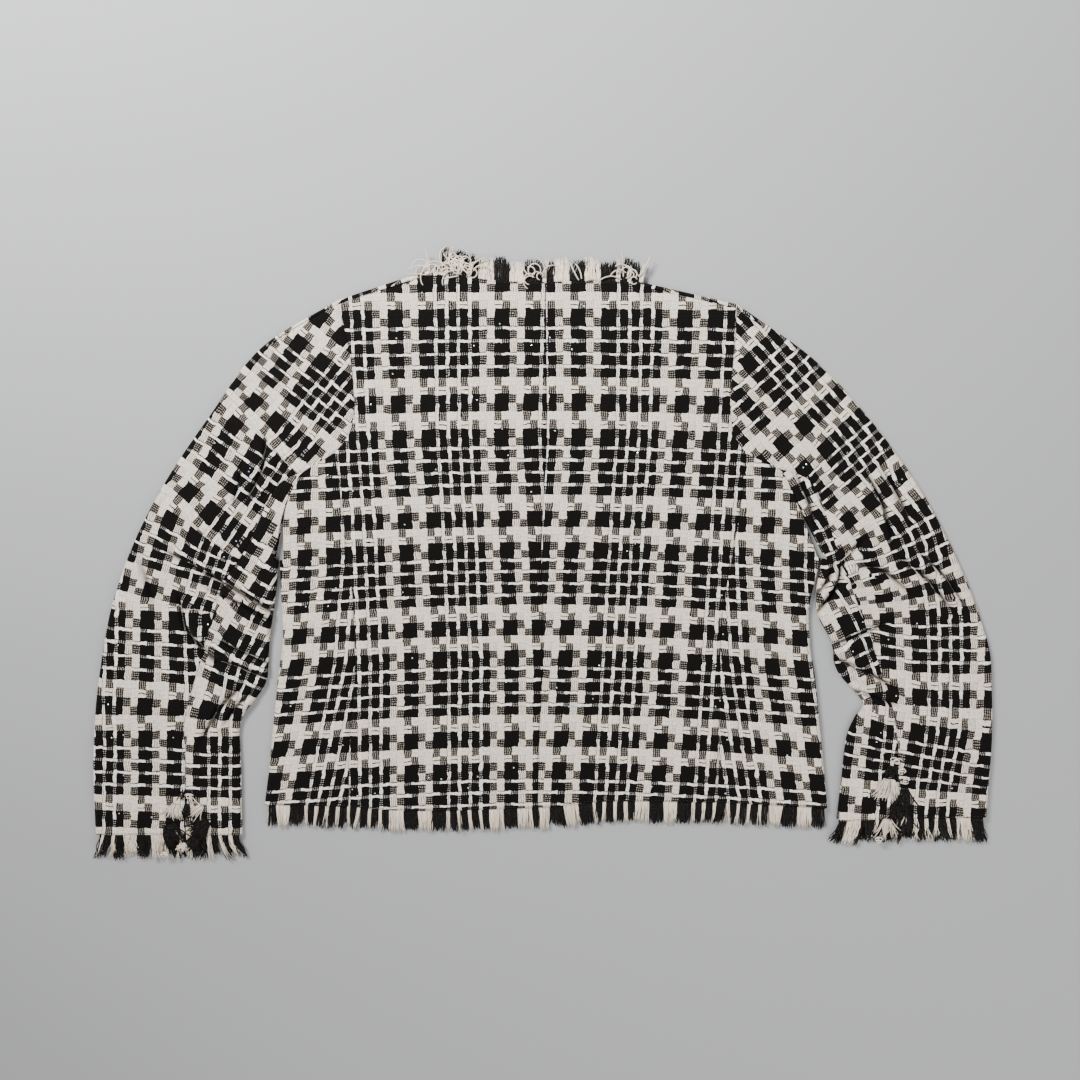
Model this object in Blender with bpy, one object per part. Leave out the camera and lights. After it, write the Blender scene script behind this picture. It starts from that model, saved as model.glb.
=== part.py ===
"""Cropped tweed jacket, laid out on its front with the back uppermost and the sleeves spread.

Each piece that a maker cuts is one closed wall of cloth. The garment is two layers deep: the
back lies on the fronts, and the cloth turns from one layer to the other in a rolled edge along
the sides, the shoulders and both edges of each sleeve. Millimetres, in the wearer's left and
right; +X to the wearer's right, +Y to the neck, +Z up, floor at Z = 0.
"""

import math
import random
from collections import namedtuple

import bmesh
import bpy
import numpy as np

MM = 0.001
WALL = 2.4  # thickness of the lined tweed
HALF = WALL / 2
GAP = 0.3  # between two pieces at a seam
ROLL = 3.1  # radius of a rolled edge, at the middle of the wall
REACH = ROLL + HALF  # from the roll's axis to its outer face
LOW = HALF  # middle of the wall of the fronts, which lie on the floor
HIGH = LOW + 2 * ROLL  # middle of the wall of the back
TURNS = 4  # facets round a rolled edge
ORIGIN = np.array([2.05, -15.95])  # middle of the laid-out garment, in the tables' millimetres

FRINGE_STRIP = 2.6  # width of the band that the fringe grows from
FRINGE_LONG = 19.0
FRINGE_THICK = 1.6
FRINGE_TAPER = 0.35  # of the thickness, lost at the tips
FRINGE_SWAY = 1.6  # how far a strand leans to one side
FRINGE_UNEVEN = (0.82, 1.08)  # range of the strands' lengths, as shares
VENT_SHARE = 0.45  # the vents' strands against the others
FRINGE_LOW = FRINGE_THICK / 2 + 0.35  # just clear of the floor
FRINGE_ON_FRONT = FRINGE_LOW + FRINGE_THICK + 1.2  # lying over the fringe of the fronts
VENT_HEIGHT = HIGH + HALF + FRINGE_THICK / 2 + 0.7  # lying over the sleeve
VENT_ROWS = 4  # facets of the sleeve's length that each vent takes
FRINGE_CLEAR = 0.7  # between the cloth's edge and the band
CURVE_CLEAR = 1.8  # the same where the edge is a tight curve in flat facets

Side = namedtuple("Side", "up_left left up_right right")
Seam = namedtuple("Seam", "left_x left_y centre_x centre_y right_x right_y")
Hole = namedtuple("Hole", "x y chords")
Sleeve = namedtuple("Sleeve", "outer_x outer_y seam_x seam_y inner_x inner_y")
Point = namedtuple("Point", "x y")
Swell = namedtuple("Swell", "x y long wide lean rise")

# Edge of the body under each arm, from the underarm to the hem.
SIDES = [
    Side(-18.0, -233.4, -16.2, 251.9),
    Side(-45.0, -232.8, -40.0, 246.0),
    Side(-72.0, -231.8, -64.0, 241.8),
    Side(-92.0, -231.8, -98.0, 243.7),
    Side(-125.0, -236.6, -124.0, 248.1),
    Side(-167.0, -241.1, -178.0, 254.1),
    Side(-210.0, -245.8, -220.0, 258.6),
    Side(-239.2, -249.8, -242.5, 260.8),
]
# The three seams down the back, from the hem up. The outer two end at the armholes.
BACK_SEAMS = [
    Seam(-173.3, -241.1, -1.8, -242.0, 160.5, -237.4),
    Seam(-171.9, -187.0, -0.9, -187.0, 161.9, -187.0),
    Seam(-166.5, -118.0, 2.0, -118.0, 162.1, -109.0),
    Seam(-167.9, -54.0, 2.7, -60.0, 164.5, -60.0),
    Seam(-172.1, -13.5, 1.4, -13.5, 172.1, -13.5),
    Seam(-177.0, 32.0, 3.6, 40.0, 179.4, 32.0),
    Seam(-182.4, 79.0, 6.3, 94.0, 182.9, 79.0),
]
CENTRE_TOP = [Point(5.8, 165.0), Point(5.3, 228.4)]
HEM = [
    Point(-249.8, -239.2),
    Point(-173.3, -241.1),
    Point(-116.7, -244.8),
    Point(-1.8, -242.0),
    Point(60.0, -236.5),
    Point(160.5, -237.4),
    Point(260.8, -242.5),
]
NECK_LEFT = [Point(-90.6, 242.0), Point(-75.6, 236.8), Point(-55.1, 231.5), Point(-26.7, 228.8)]
NECK_RIGHT = [Point(93.4, 228.0), Point(73.0, 228.6), Point(53.4, 228.8), Point(30.0, 228.8)]
NECK_DROP = 74.0  # how much lower the neckline is at the front

# Armhole seams, from the shoulder to the underarm. CHORDS is how many facets follow each row.
ARMHOLE_LEFT = [
    Hole(-179.3, 213.0, 2),
    Hole(-169.0, 169.7, 2),
    Hole(-165.0, 125.4, 1),
    Hole(-168.5, 98.0, 1),
    Hole(-182.4, 79.0, 2),
    Hole(-208.2, 62.9, 2),
    Hole(-216.5, 54.0, 3),
    Hole(-228.5, 24.0, 3),
    Hole(-233.8, -18.0, 0),
]
ARMHOLE_RIGHT = [
    Hole(174.5, 209.5, 2),
    Hole(172.6, 171.0, 2),
    Hole(169.3, 130.0, 1),
    Hole(171.5, 100.0, 1),
    Hole(182.9, 79.0, 2),
    Hole(208.5, 66.0, 2),
    Hole(218.1, 57.5, 3),
    Hole(233.5, 25.0, 3),
    Hole(252.3, -16.2, 0),
]
PRINCESS_ROW, SLEEVE_SEAM_ROW, TIP_ROW = 4, 5, 6
CORNER = 2  # the sleeve station that ends at the underarm

# Sleeve sections, from the armhole to the cuff: outer fold, back seam, inner fold.
SLEEVE_LEFT = [
    Sleeve(-179.3, 213.0, -208.2, 62.9, -216.5, 54.0),
    Sleeve(-248.0, 170.6, -235.5, 47.0, -228.5, 24.0),
    Sleeve(-295.3, 109.3, -261.3, -4.5, -234.2, -18.0),
    Sleeve(-336.7, 48.6, -280.6, -34.9, -237.6, -50.0),
    Sleeve(-366.6, -9.0, -293.3, -67.8, -243.4, -90.6),
    Sleeve(-385.7, -63.3, -302.2, -100.4, -246.5, -125.2),
    Sleeve(-395.8, -113.4, -312.3, -131.5, -256.7, -143.5),
    Sleeve(-401.8, -159.1, -319.9, -163.1, -270.7, -165.5),
    Sleeve(-404.6, -208.8, -320.3, -208.2, -270.8, -207.8),
    Sleeve(-403.6, -267.0, -321.1, -267.0, -270.6, -267.0),
]
SLEEVE_RIGHT = [
    Sleeve(174.5, 209.5, 208.5, 66.0, 218.1, 57.5),
    Sleeve(243.0, 161.0, 243.5, 49.0, 233.5, 25.0),
    Sleeve(292.3, 109.7, 268.5, -16.0, 252.7, -16.2),
    Sleeve(334.4, 54.3, 280.0, -45.0, 248.4, -46.0),
    Sleeve(364.3, 2.7, 289.0, -68.0, 250.0, -68.0),
    Sleeve(384.0, -39.0, 297.0, -89.0, 262.3, -92.0),
    Sleeve(396.0, -71.0, 304.3, -110.0, 268.0, -118.0),
    Sleeve(405.5, -103.0, 311.0, -131.0, 291.0, -146.0),
    Sleeve(407.9, -140.0, 317.6, -151.0, 284.0, -161.0),
    Sleeve(408.7, -178.4, 322.5, -180.0, 277.0, -180.0),
    Sleeve(407.0, -218.9, 324.3, -220.0, 272.8, -221.0),
    Sleeve(405.1, -251.3, 325.0, -252.0, 269.2, -254.0),
]

# Soft rises and hollows of the upper layer: a middle, its length and width, the way it leans
# (degrees from +X) and its height.
SWELLS = [
    Swell(-279.0, -50.0, 62.0, 9.0, -31.0, 4.2),
    Swell(-290.0, -62.0, 48.0, 8.0, -40.0, -1.2),
    Swell(-312.0, -81.0, 34.0, 9.0, -62.0, 3.0),
    Swell(-277.0, -112.0, 34.0, 8.0, -10.0, 2.6),
    Swell(-256.0, 62.0, 34.0, 9.0, 70.0, 2.4),
    Swell(-318.0, 20.0, 70.0, 34.0, 54.0, 2.2),
    Swell(-352.0, -130.0, 70.0, 32.0, 80.0, 1.8),
    Swell(262.0, -34.0, 46.0, 10.0, 59.0, 3.8),
    Swell(312.0, 34.0, 50.0, 12.0, -62.0, 2.6),
    Swell(358.0, -34.0, 44.0, 14.0, -66.0, 2.0),
    Swell(294.0, -97.0, 34.0, 8.0, 16.0, 3.2),
    Swell(303.0, -122.0, 34.0, 8.0, 24.0, 2.4),
    Swell(352.0, -150.0, 70.0, 32.0, 96.0, 1.8),
    Swell(-96.0, -60.0, 120.0, 44.0, 88.0, -1.3),
    Swell(88.0, -90.0, 120.0, 40.0, 92.0, -1.2),
    Swell(-60.0, 130.0, 80.0, 40.0, 20.0, -1.0),
    Swell(92.0, 118.0, 80.0, 40.0, -20.0, -1.0),
    Swell(-205.0, -120.0, 80.0, 16.0, 88.0, -1.2),
    Swell(205.0, -120.0, 80.0, 16.0, 92.0, -1.2),
]

SIDE_ROWS = 9  # facets up each side of the body, hem to underarm
CENTRE_COLUMNS = 8
SHOULDER_COLUMNS = 3  # of those, the ones that end at the shoulder
SIDE_COLUMNS = 4
STATION_ROWS = 3  # facets between two sleeve sections
UNDER_COLUMNS = 2

TWEED = (0.030, 0.028, 0.026)
FRAY = (0.42, 0.38, 0.33)


def rotated(way, turns=1):
    """A flat direction turned by quarter turns, counter-clockwise."""
    for _ in range(turns):
        way = np.array([-way[1], way[0]])
    return way


def unit(way):
    return way / max(np.linalg.norm(way), 1e-9)


def through(points):
    """A smooth curve through POINTS: a function of a place counted in rows."""
    rows = np.array(points, float)
    ends = np.vstack([2 * rows[0] - rows[1], rows, 2 * rows[-1] - rows[-2]])

    def at(place):
        row = min(int(place), len(rows) - 2)
        share = place - row
        before, start, end, after = ends[row : row + 4]
        return 0.5 * (
            2 * start
            + (end - before) * share
            + (2 * before - 5 * start + 4 * end - after) * share**2
            + (3 * start - before - 3 * end + after) * share**3
        )

    return at


def even(at, last, count, first=0.0):
    """COUNT + 1 points of a curve, evenly spaced along its length."""
    places = np.linspace(first, last, 241)
    fine = np.array([at(place) for place in places])
    run = np.concatenate([[0], np.cumsum(np.linalg.norm(np.diff(fine, axis=0), axis=1))])
    wanted = np.interp(np.linspace(0, run[-1], count + 1), run, places)
    return np.array([at(place) for place in wanted])


def normals(points):
    """The direction a quarter turn clockwise from the way the points run, at each point."""
    ways = np.gradient(points, axis=0)
    return np.array([rotated(unit(way), 3) for way in ways])


def rise(spot):
    """How far the upper layer is lifted or sunk above a place on the floor."""
    total = 0.0
    for swell in SWELLS:
        lean = math.radians(swell.lean)
        along = (spot[0] - swell.x) * math.cos(lean) + (spot[1] - swell.y) * math.sin(lean)
        across = (spot[1] - swell.y) * math.cos(lean) - (spot[0] - swell.x) * math.sin(lean)
        total += swell.rise * math.exp(-((along / swell.long) ** 2) - (across / swell.wide) ** 2)
    return total


def upper(spot):
    """Middle of the upper layer's wall above a place on the floor, and the wall's normal."""
    step = 0.5
    slope_x = (rise(spot + (step, 0)) - rise(spot - (step, 0))) / (2 * step)
    slope_y = (rise(spot + (0, step)) - rise(spot - (0, step))) / (2 * step)
    return np.array([*spot, HIGH + rise(spot)]), unit(np.array([-slope_x, -slope_y, 1.0]))


def lower(spot):
    return np.array([*spot, LOW]), np.array([0.0, 0.0, -1.0])


def rolled(axis, outward, turn):
    """A place on a rolled edge, TURN running from 0 on the upper layer to pi on the lower."""
    lift = rise(axis)
    middle = LOW + ROLL + lift / 2
    flat = axis + outward * ROLL * math.sin(turn)
    height = middle + (ROLL + lift / 2) * math.cos(turn)
    return np.array([*flat, height]), np.array([*(outward * math.sin(turn)), math.cos(turn)])


def patch(first, last, left, right, reach=1.0):
    """Flat places inside four edges that share their corners, as a grid [row][column].

    The first edge's shape fades out over REACH of the way to the last edge.
    """
    columns = np.linspace(0, 1, len(first))[None, :, None]
    rows = np.linspace(0, 1, len(left))[:, None, None]
    across = (1 - columns) * left[:, None] + columns * right[:, None]
    chords = [(1 - columns[0]) * edge[0] + columns[0] * edge[-1] for edge in (first, last)]
    early = np.clip(1 - rows / reach, 0, 1)
    return across + early * (first - chords[0]) + rows * (last - chords[1])


def number_grid(mesh, row_count, column_count):
    """Layers that hold each point's row and column, which last when the mesh is extruded."""
    row_of = mesh.verts.layers.int.new("row")
    column_of = mesh.verts.layers.int.new("column")
    for vert in mesh.verts:
        vert[row_of] = round((vert.co.y + 1) / 2 * row_count)
        vert[column_of] = round((vert.co.x + 1) / 2 * column_count)
    return row_of, column_of


def second_layer(mesh):
    """Closes a sheet into a wall, and gives the points of its new layer."""
    made = bmesh.ops.extrude_face_region(mesh, geom=mesh.faces[:], use_keep_orig=True)
    return {item for item in made["geom"] if isinstance(item, bmesh.types.BMVert)}


def cloth(name, places, missing=()):
    """A closed wall on a grid of (middle, normal). MISSING lists the grid's faces to leave out."""
    row_count, column_count = len(places) - 1, len(places[0]) - 1
    mesh = bmesh.new()
    bmesh.ops.create_grid(mesh, x_segments=column_count, y_segments=row_count, size=1)
    row_of, column_of = number_grid(mesh, row_count, column_count)
    holes = set(missing)
    cut = [
        face
        for face in mesh.faces
        if (min(v[row_of] for v in face.verts), min(v[column_of] for v in face.verts)) in holes
    ]
    bmesh.ops.delete(mesh, geom=cut, context="FACES")
    second = second_layer(mesh)
    for vert in mesh.verts:
        middle, normal = places[vert[row_of]][vert[column_of]]
        vert.co = seat(middle + normal * (-HALF if vert in second else HALF))
    finish(name, mesh, TWEED)


def seat(place):
    """Table millimetres to the part's own metres."""
    return (
        (place[0] - ORIGIN[0]) * MM,
        (place[1] - ORIGIN[1]) * MM,
        place[2] * MM,
    )


def finish(name, mesh, colour):
    bmesh.ops.triangulate(mesh, faces=mesh.faces[:], quad_method="BEAUTY")
    bmesh.ops.recalc_face_normals(mesh, faces=mesh.faces[:])
    data = bpy.data.meshes.new(name)
    mesh.to_mesh(data)
    mesh.free()
    data.shade_smooth()
    data.set_sharp_from_angle(angle=math.radians(40))
    material = bpy.data.materials.new(name)
    material.use_nodes = True
    shader = material.node_tree.nodes["Principled BSDF"]
    shader.inputs["Base Color"].default_value = (*colour, 1.0)
    shader.inputs["Roughness"].default_value = 0.9
    data.materials.append(material)
    JACKET.objects.link(bpy.data.objects.new(name, data))


class Half:
    """One side of the garment, with everything that its pieces share along their edges."""

    def __init__(self, side):
        self.side = side
        self.sign = -1 if side == "left" else 1
        left = side == "left"
        self.centre_gap = np.array([self.sign * GAP / 2, 0.0])
        holes = ARMHOLE_LEFT if left else ARMHOLE_RIGHT
        neck = NECK_LEFT if left else NECK_RIGHT
        self.stations = SLEEVE_LEFT if left else SLEEVE_RIGHT
        self.shoulder_end = np.array(holes[0][:2])
        self.neck_point = np.array(neck[0])
        along = unit(self.neck_point - self.shoulder_end)
        self.shoulder_out = rotated(along, 1 if left else 3)
        self.neck = through(neck + [CENTRE_TOP[-1]])
        self.neck_rows = len(neck)
        self.side_axis, self.side_out = self.body_side(left)
        self.armhole, self.marks = self.armhole_points(holes)
        self.make_sleeve_edges()

    def body_side(self, left):
        rows = [
            (row.left, row.up_left) if left else (row.right, row.up_right)
            for row in reversed(SIDES)
        ]
        edge = even(through(rows), len(rows) - 1, SIDE_ROWS)
        out = normals(edge)
        out *= np.sign(out[:, :1]) * self.sign
        return edge - out * REACH, out

    def armhole_points(self, holes):
        """The seam's facets from the shoulder's roll to the underarm, and which one each row is."""
        at = through([hole[:2] for hole in holes])
        points, marks = [], []
        for row, hole in enumerate(holes):
            marks.append(len(points))
            points += [at(row + step / max(hole.chords, 1)) for step in range(max(hole.chords, 1))]
        points[0] = self.shoulder_end - self.shoulder_out * REACH
        return np.array(points), marks

    def make_sleeve_edges(self):
        last = len(self.stations) - 1
        steps = last * STATION_ROWS
        places = np.linspace(0, last, steps + 1)
        outer = through([row[0:2] for row in self.stations])
        seam = through([row[2:4] for row in self.stations])
        inner = through([row[4:6] for row in self.stations[CORNER:]])
        edge = np.array([outer(place) for place in places])
        out = normals(edge) * (-self.sign)
        out[0] = self.shoulder_out
        out[1] = unit(out[1] + self.shoulder_out / 2)
        self.outer_axis, self.outer_out = edge - out * REACH, out
        self.back_seam = np.array([seam(place) for place in places])
        low = np.array([inner(place - CORNER) for place in places[CORNER * STATION_ROWS :]])
        low_out = normals(low) * self.sign
        self.inner_axis, self.inner_out = low - low_out * REACH, low_out
        self.sleeve_rows = steps

    def seam_side(self, points, way):
        """POINTS moved half a seam gap to one side."""
        return points + normals(points) * way * GAP / 2

    def body_armhole(self):
        """The armhole as the body's pieces follow it, parting from the sleeve at the underarm."""
        points = self.seam_side(self.armhole, self.sign)
        return self.parted(points, self.side_axis[-1])

    def sleeve_armhole(self):
        points = self.seam_side(self.armhole, -self.sign)
        return self.parted(points, self.inner_axis[0])

    def parted(self, points, end):
        """Both edges draw back from the underarm so that each has room for its rolled edge."""
        start = self.marks[TIP_ROW]
        count = len(points) - 1 - start
        shift = end - points[-1]
        for step in range(1, count + 1):
            points[start + step] += shift * (step / count) ** 2
        return points


def seam_points(column, count):
    """The points of a seam down the back, COUNT chords from the hem up, and a way to its top."""
    rows = [(getattr(row, column + "_x"), getattr(row, column + "_y")) for row in BACK_SEAMS]
    return even(through(rows), len(rows) - 1, count)


def make_back_centre(half):
    """Centre back panel: up the princess seam and the armhole, over to the shoulder and neck."""
    top = half.marks[PRINCESS_ROW]
    side_rows = SIDE_ROWS + (half.marks[-1] - top - 1)
    princess = half.seam_side(seam_points(half.side, side_rows), -half.sign)
    hole = half.body_armhole()[: top + 1][::-1]
    outer = np.vstack([princess, hole[1:]])
    outer[side_rows] = (princess[-1] + hole[0]) / 2
    outer[-1] -= half.shoulder_out * GAP
    centre = [(row.centre_x, row.centre_y) for row in BACK_SEAMS] + CENTRE_TOP
    middle = even(through(centre), len(centre) - 1, len(outer) - 1) + half.centre_gap
    neck_corner = half.neck_point - half.shoulder_out * (REACH + GAP)
    shoulder = np.linspace(outer[-1], neck_corner, SHOULDER_COLUMNS + 1)
    neck = even(half.neck, half.neck_rows, CENTRE_COLUMNS - SHOULDER_COLUMNS)
    neck[-1] = middle[-1]
    hem = hem_between(outer[0], middle[0], CENTRE_COLUMNS)
    grid = patch(hem, np.vstack([shoulder, neck[1:]]), outer, middle)
    cloth("back_centre_" + half.side, [[upper(spot) for spot in row] for row in grid])


def hem_between(start, end, count):
    """The hem's points between two places on it."""
    curve = np.array([through(HEM)(place) for place in np.linspace(0, len(HEM) - 1, 121)])
    across = np.linspace(start[0], end[0], count + 1)
    points = np.column_stack([across, np.interp(across, curve[:, 0], curve[:, 1])])
    points[0], points[-1] = start, end
    return points


def make_side(half):
    """Side panel of the back: from the princess seam round the rolled edge to the side seam."""
    top = half.marks[PRINCESS_ROW]
    hole = half.body_armhole()[top:][::-1]
    axis = half.side_axis
    edge = np.vstack([axis, hole[1:-1]])
    rows = len(edge) - 1
    seam = seam_points(half.side, rows)
    seam = half.seam_side(seam, half.sign)
    top_edge = np.linspace(edge[-1], hole[-1], SIDE_COLUMNS + 1)
    seam[-1] = top_edge[-1]
    hem = hem_between(edge[0], seam[0], SIDE_COLUMNS)
    grid = patch(hem, top_edge, edge, seam)
    turns = [math.pi * (1 - step / TURNS) for step in range(TURNS)]
    places = []
    for row in range(rows + 1):
        at = min(row, SIDE_ROWS)
        roll = [rolled(axis[at], half.side_out[at], turn) for turn in turns]
        places.append(roll + [upper(spot) for spot in grid[row]])
    missing = [(row, column) for row in range(SIDE_ROWS, rows) for column in range(TURNS)]
    cloth("side_" + half.side, places, missing)


def make_front(half):
    """Front panel: flat on the floor, and rolled over the shoulder to the seam on top."""
    side_seam = half.side_axis - half.side_out * GAP
    edge = np.vstack([side_seam, half.body_armhole()[::-1][1:]])
    corner = half.neck_point - half.shoulder_out * REACH
    shoulder = np.linspace(edge[-1], corner, SHOULDER_COLUMNS + 1)
    hem_end = np.array([HEM[3].x, HEM[3].y]) + half.centre_gap
    centre_top = np.array([CENTRE_TOP[-1].x, corner[1] - NECK_DROP]) + half.centre_gap
    turn = np.linspace(0, math.pi / 2, CENTRE_COLUMNS - SHOULDER_COLUMNS + 1)[1:]
    neck = np.column_stack(
        [
            corner[0] + (centre_top[0] - corner[0]) * (1 - np.cos(turn)),
            corner[1] - NECK_DROP * np.sin(turn),
        ]
    )
    centre = np.linspace(hem_end, centre_top, len(edge))
    hem = hem_between(edge[0], hem_end, CENTRE_COLUMNS)
    grid = patch(hem, np.vstack([shoulder, neck]), edge, centre)
    places = [[lower(spot) for spot in row] for row in grid]
    last = len(places) - 1
    for step in range(1, TURNS + 1):
        turn = math.pi * (1 - step / TURNS)
        roll = [rolled(spot, half.shoulder_out, turn) for spot in shoulder]
        places.append(roll + places[last][SHOULDER_COLUMNS + 1 :])
    missing = [
        (last + step, column)
        for step in range(TURNS)
        for column in range(SHOULDER_COLUMNS, CENTRE_COLUMNS)
    ]
    cloth("front_" + half.side, places, missing)
    return neck


def make_sleeve(half):
    """The two pieces of a sleeve: the upper one round the outer fold, the under one inside."""
    start = half.marks[SLEEVE_SEAM_ROW]
    hole = half.sleeve_armhole()
    columns = start
    rows = half.sleeve_rows
    seam = half.seam_side(half.back_seam, -half.sign)
    cuff = np.linspace(half.outer_axis[-1], seam[-1], columns + 1)
    first = hole[: start + 1].copy()
    first[-1] += unit(first[-2] - first[-1]) * GAP / 2
    outer = half.outer_axis.copy()
    outer[0] = first[0]
    seam[0] = first[-1]
    grid = patch(first, cuff, outer, seam, reach=0.25)
    places = []
    for row in range(rows + 1):
        roll = [
            rolled(outer[row], half.outer_out[row], math.pi * step / TURNS)
            for step in range(1, TURNS)
        ]
        flat = [upper(spot) for spot in grid[row][::-1]]
        under = [lower(spot) for spot in grid[row]]
        places.append(flat + roll + under)
    cloth("sleeve_upper_" + half.side, places)

    seam = half.seam_side(half.back_seam, half.sign)
    tip = half.marks[TIP_ROW]
    edge = np.vstack([hole[tip:-1], half.inner_axis])
    seam[0] = hole[start] + unit(hole[start + 1] - hole[start]) * GAP / 2
    top = np.linspace(seam[0], edge[0], UNDER_COLUMNS + 1)
    top[1] = hole[start + 1]
    cuff = np.linspace(seam[-1], edge[-1], UNDER_COLUMNS + 1)
    grid = patch(top, cuff, seam, edge)
    places = []
    corner = CORNER * STATION_ROWS
    for row in range(rows + 1):
        at = max(row - corner, 0)
        roll = [
            rolled(half.inner_axis[at], half.inner_out[at], math.pi * step / TURNS)
            for step in range(1, TURNS)
        ]
        flat = [upper(spot) for spot in grid[row]]
        under = [lower(spot) for spot in grid[row][::-1]]
        places.append(flat + roll + under)
    missing = [
        (row, UNDER_COLUMNS + step) for row in range(corner) for step in range(TURNS)
    ]
    cloth("sleeve_under_" + half.side, places, missing)


def make_fringe(name, edge, way, heights, strands, bends=1, both=False, clear=FRINGE_CLEAR):
    """Fringe along EDGE: a narrow band just off the cloth, with strands fused to its outer side.

    HEIGHTS are those of the band and of the strands' ends, and BENDS is the number of facets
    along a strand. With BOTH, strands grow from the two long sides of the band.
    """
    dice = random.Random(name)
    columns = 2 * strands
    line = even(through(edge), len(edge) - 1, columns)
    ways = normals(line) * way
    near = -FRINGE_STRIP / 2 if both else clear
    rims = [near, near + FRINGE_STRIP]
    band = bends if both else 0
    row_count = band + 1 + bends
    mesh = bmesh.new()
    bmesh.ops.create_grid(mesh, x_segments=columns, y_segments=row_count, size=1)
    row_of, column_of = number_grid(mesh, row_count, columns)
    gaps = [
        face
        for face in mesh.faces
        if min(v[row_of] for v in face.verts) != band
        and min(v[column_of] for v in face.verts) % 2 == 0
    ]
    bmesh.ops.delete(mesh, geom=gaps, context="FACES")
    second = second_layer(mesh)
    loose = [
        (dice.uniform(-FRINGE_SWAY, FRINGE_SWAY), dice.uniform(*FRINGE_UNEVEN))
        for _ in range(columns + 2)
    ]
    for vert in mesh.verts:
        row, column = vert[row_of] - band, vert[column_of]
        strand = (column + 1) // 2 * 2
        sway, length = loose[strand + (1 if row < 0 else 0)]
        share = max(row - 1, -row, 0) / bends
        far = FRINGE_LONG * (VENT_SHARE if both else 1.0) * length * share
        out = rims[min(max(row, 0), 1)] + (far if row > 0 else -far)
        middle = (line[max(strand - 1, 0)] + line[min(strand, columns)]) / 2
        spot = line[column] + (middle - line[column]) * share / 2 + ways[column] * out
        spot = spot + rotated(ways[column]) * sway * share
        height = heights[0] + (heights[1] - heights[0]) * share
        thick = FRINGE_THICK / 2 * (1 - FRINGE_TAPER * share)
        vert.co = seat([*spot, height + (thick if vert in second else -thick)])
    finish(name, mesh, FRAY)


def make_half_fringes(half, front_neck):
    """The fringes of one side: front hem, front neck, cuff and vent."""
    side, sign = half.side, half.sign
    flat = (FRINGE_LOW, FRINGE_LOW)
    middle = np.array([HEM[3].x + half.sign, HEM[3].y])
    hem = hem_between(half.side_axis[0], middle, 5)
    make_fringe("hem_fringe_front_" + side, hem, -sign, flat, 14)
    make_fringe("neck_fringe_front_" + side, front_neck, sign, flat, 7, clear=CURVE_CLEAR)
    cuff = [half.outer_axis[-1], half.back_seam[-1], half.inner_axis[-1]]
    make_fringe("cuff_fringe_back_" + side, cuff, -sign, (HIGH, FRINGE_ON_FRONT), 12, bends=2)
    make_fringe("cuff_fringe_front_" + side, cuff, -sign, flat, 8)
    vent = half.back_seam[-VENT_ROWS:]
    make_fringe("vent_fringe_" + side, vent, 1, (VENT_HEIGHT, VENT_HEIGHT), 5, both=True)


def make_back_fringes(left, right):
    """The fringes that run across the whole back, at the hem and the neck."""
    hem = hem_between(left.side_axis[0], right.side_axis[0], 12)
    make_fringe("hem_fringe_back", hem, 1, (HIGH, FRINGE_ON_FRONT), 48, bends=2)
    neck = [left.neck(place) for place in (0.4, 1, 2, 3)]
    neck += [right.neck(place) for place in (4, 3, 2, 1, 0.3)]
    make_fringe("neck_fringe_back", neck, -1, (HIGH, FRINGE_LOW), 22, bends=2)


for thing in list(bpy.data.objects):
    bpy.data.objects.remove(thing)
JACKET = bpy.data.collections.new("cropped_tweed_jacket")
bpy.context.scene.collection.children.link(JACKET)
HALVES = [Half("left"), Half("right")]
for each in HALVES:
    make_back_centre(each)
    make_side(each)
    make_sleeve(each)
    make_half_fringes(each, make_front(each))
make_back_fringes(*HALVES)
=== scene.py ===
"""Cropped tweed jacket, laid out on its front: the woven cloth, frayed edges, stitching and sequins."""

import math
import random
from collections import namedtuple

import bpy
import numpy as np
from mathutils import Euler, Matrix, Vector


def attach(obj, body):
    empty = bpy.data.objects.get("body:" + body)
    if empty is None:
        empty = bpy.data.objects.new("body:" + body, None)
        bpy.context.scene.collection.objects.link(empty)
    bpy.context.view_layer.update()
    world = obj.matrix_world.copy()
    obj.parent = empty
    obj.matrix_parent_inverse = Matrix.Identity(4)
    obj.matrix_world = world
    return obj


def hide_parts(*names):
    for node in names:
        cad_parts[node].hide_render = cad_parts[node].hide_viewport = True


bl_info = {
    "name": "Cropped Tweed Jacket",
    "version": (1, 0, 0),
    "blender": (4, 5, 0),
    "location": "View3D > Sidebar > Jacket",
    "description": "Cloth, frayed edges, stitching and sequins of a tweed jacket laid out flat",
    "category": "Object",
}

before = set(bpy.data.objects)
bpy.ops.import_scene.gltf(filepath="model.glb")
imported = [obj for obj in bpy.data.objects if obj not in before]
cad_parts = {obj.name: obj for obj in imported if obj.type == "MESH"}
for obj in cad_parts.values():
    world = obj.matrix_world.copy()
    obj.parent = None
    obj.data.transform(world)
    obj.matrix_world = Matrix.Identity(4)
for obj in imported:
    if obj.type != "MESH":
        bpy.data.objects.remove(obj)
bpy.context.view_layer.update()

MM = 0.001
ORIGIN = np.array([2.05, -15.95])  # middle of the laid-out garment, in the tables' millimetres
TURN_FACETS = 10  # round a rolled edge
DEEPEST = -3.0  # where a groove meets the layer below
CREASE_STEPS = 40  # along a crease's curve
CREASE_ENDS = 0.25  # the share of its height that a crease keeps at its ends
CREASE_EASE = 6.0  # how far past its ends a crease eases off
DRAWN_WIDTH, DRAWN_FADE = 5.0, 60.0  # the strip where cloth is drawn in, and how it eases off
DRAWN_EASE = 12.0  # how far past the ends of a crease the cloth is drawn in
DIP_WIDTH = 2.4  # of the dip beside a seam
FINE_STEPS = 600  # in the fine copy of a curve that even places are found on
WARP_REPEAT = 56  # yarns in one repeat of the check, both ways
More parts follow.
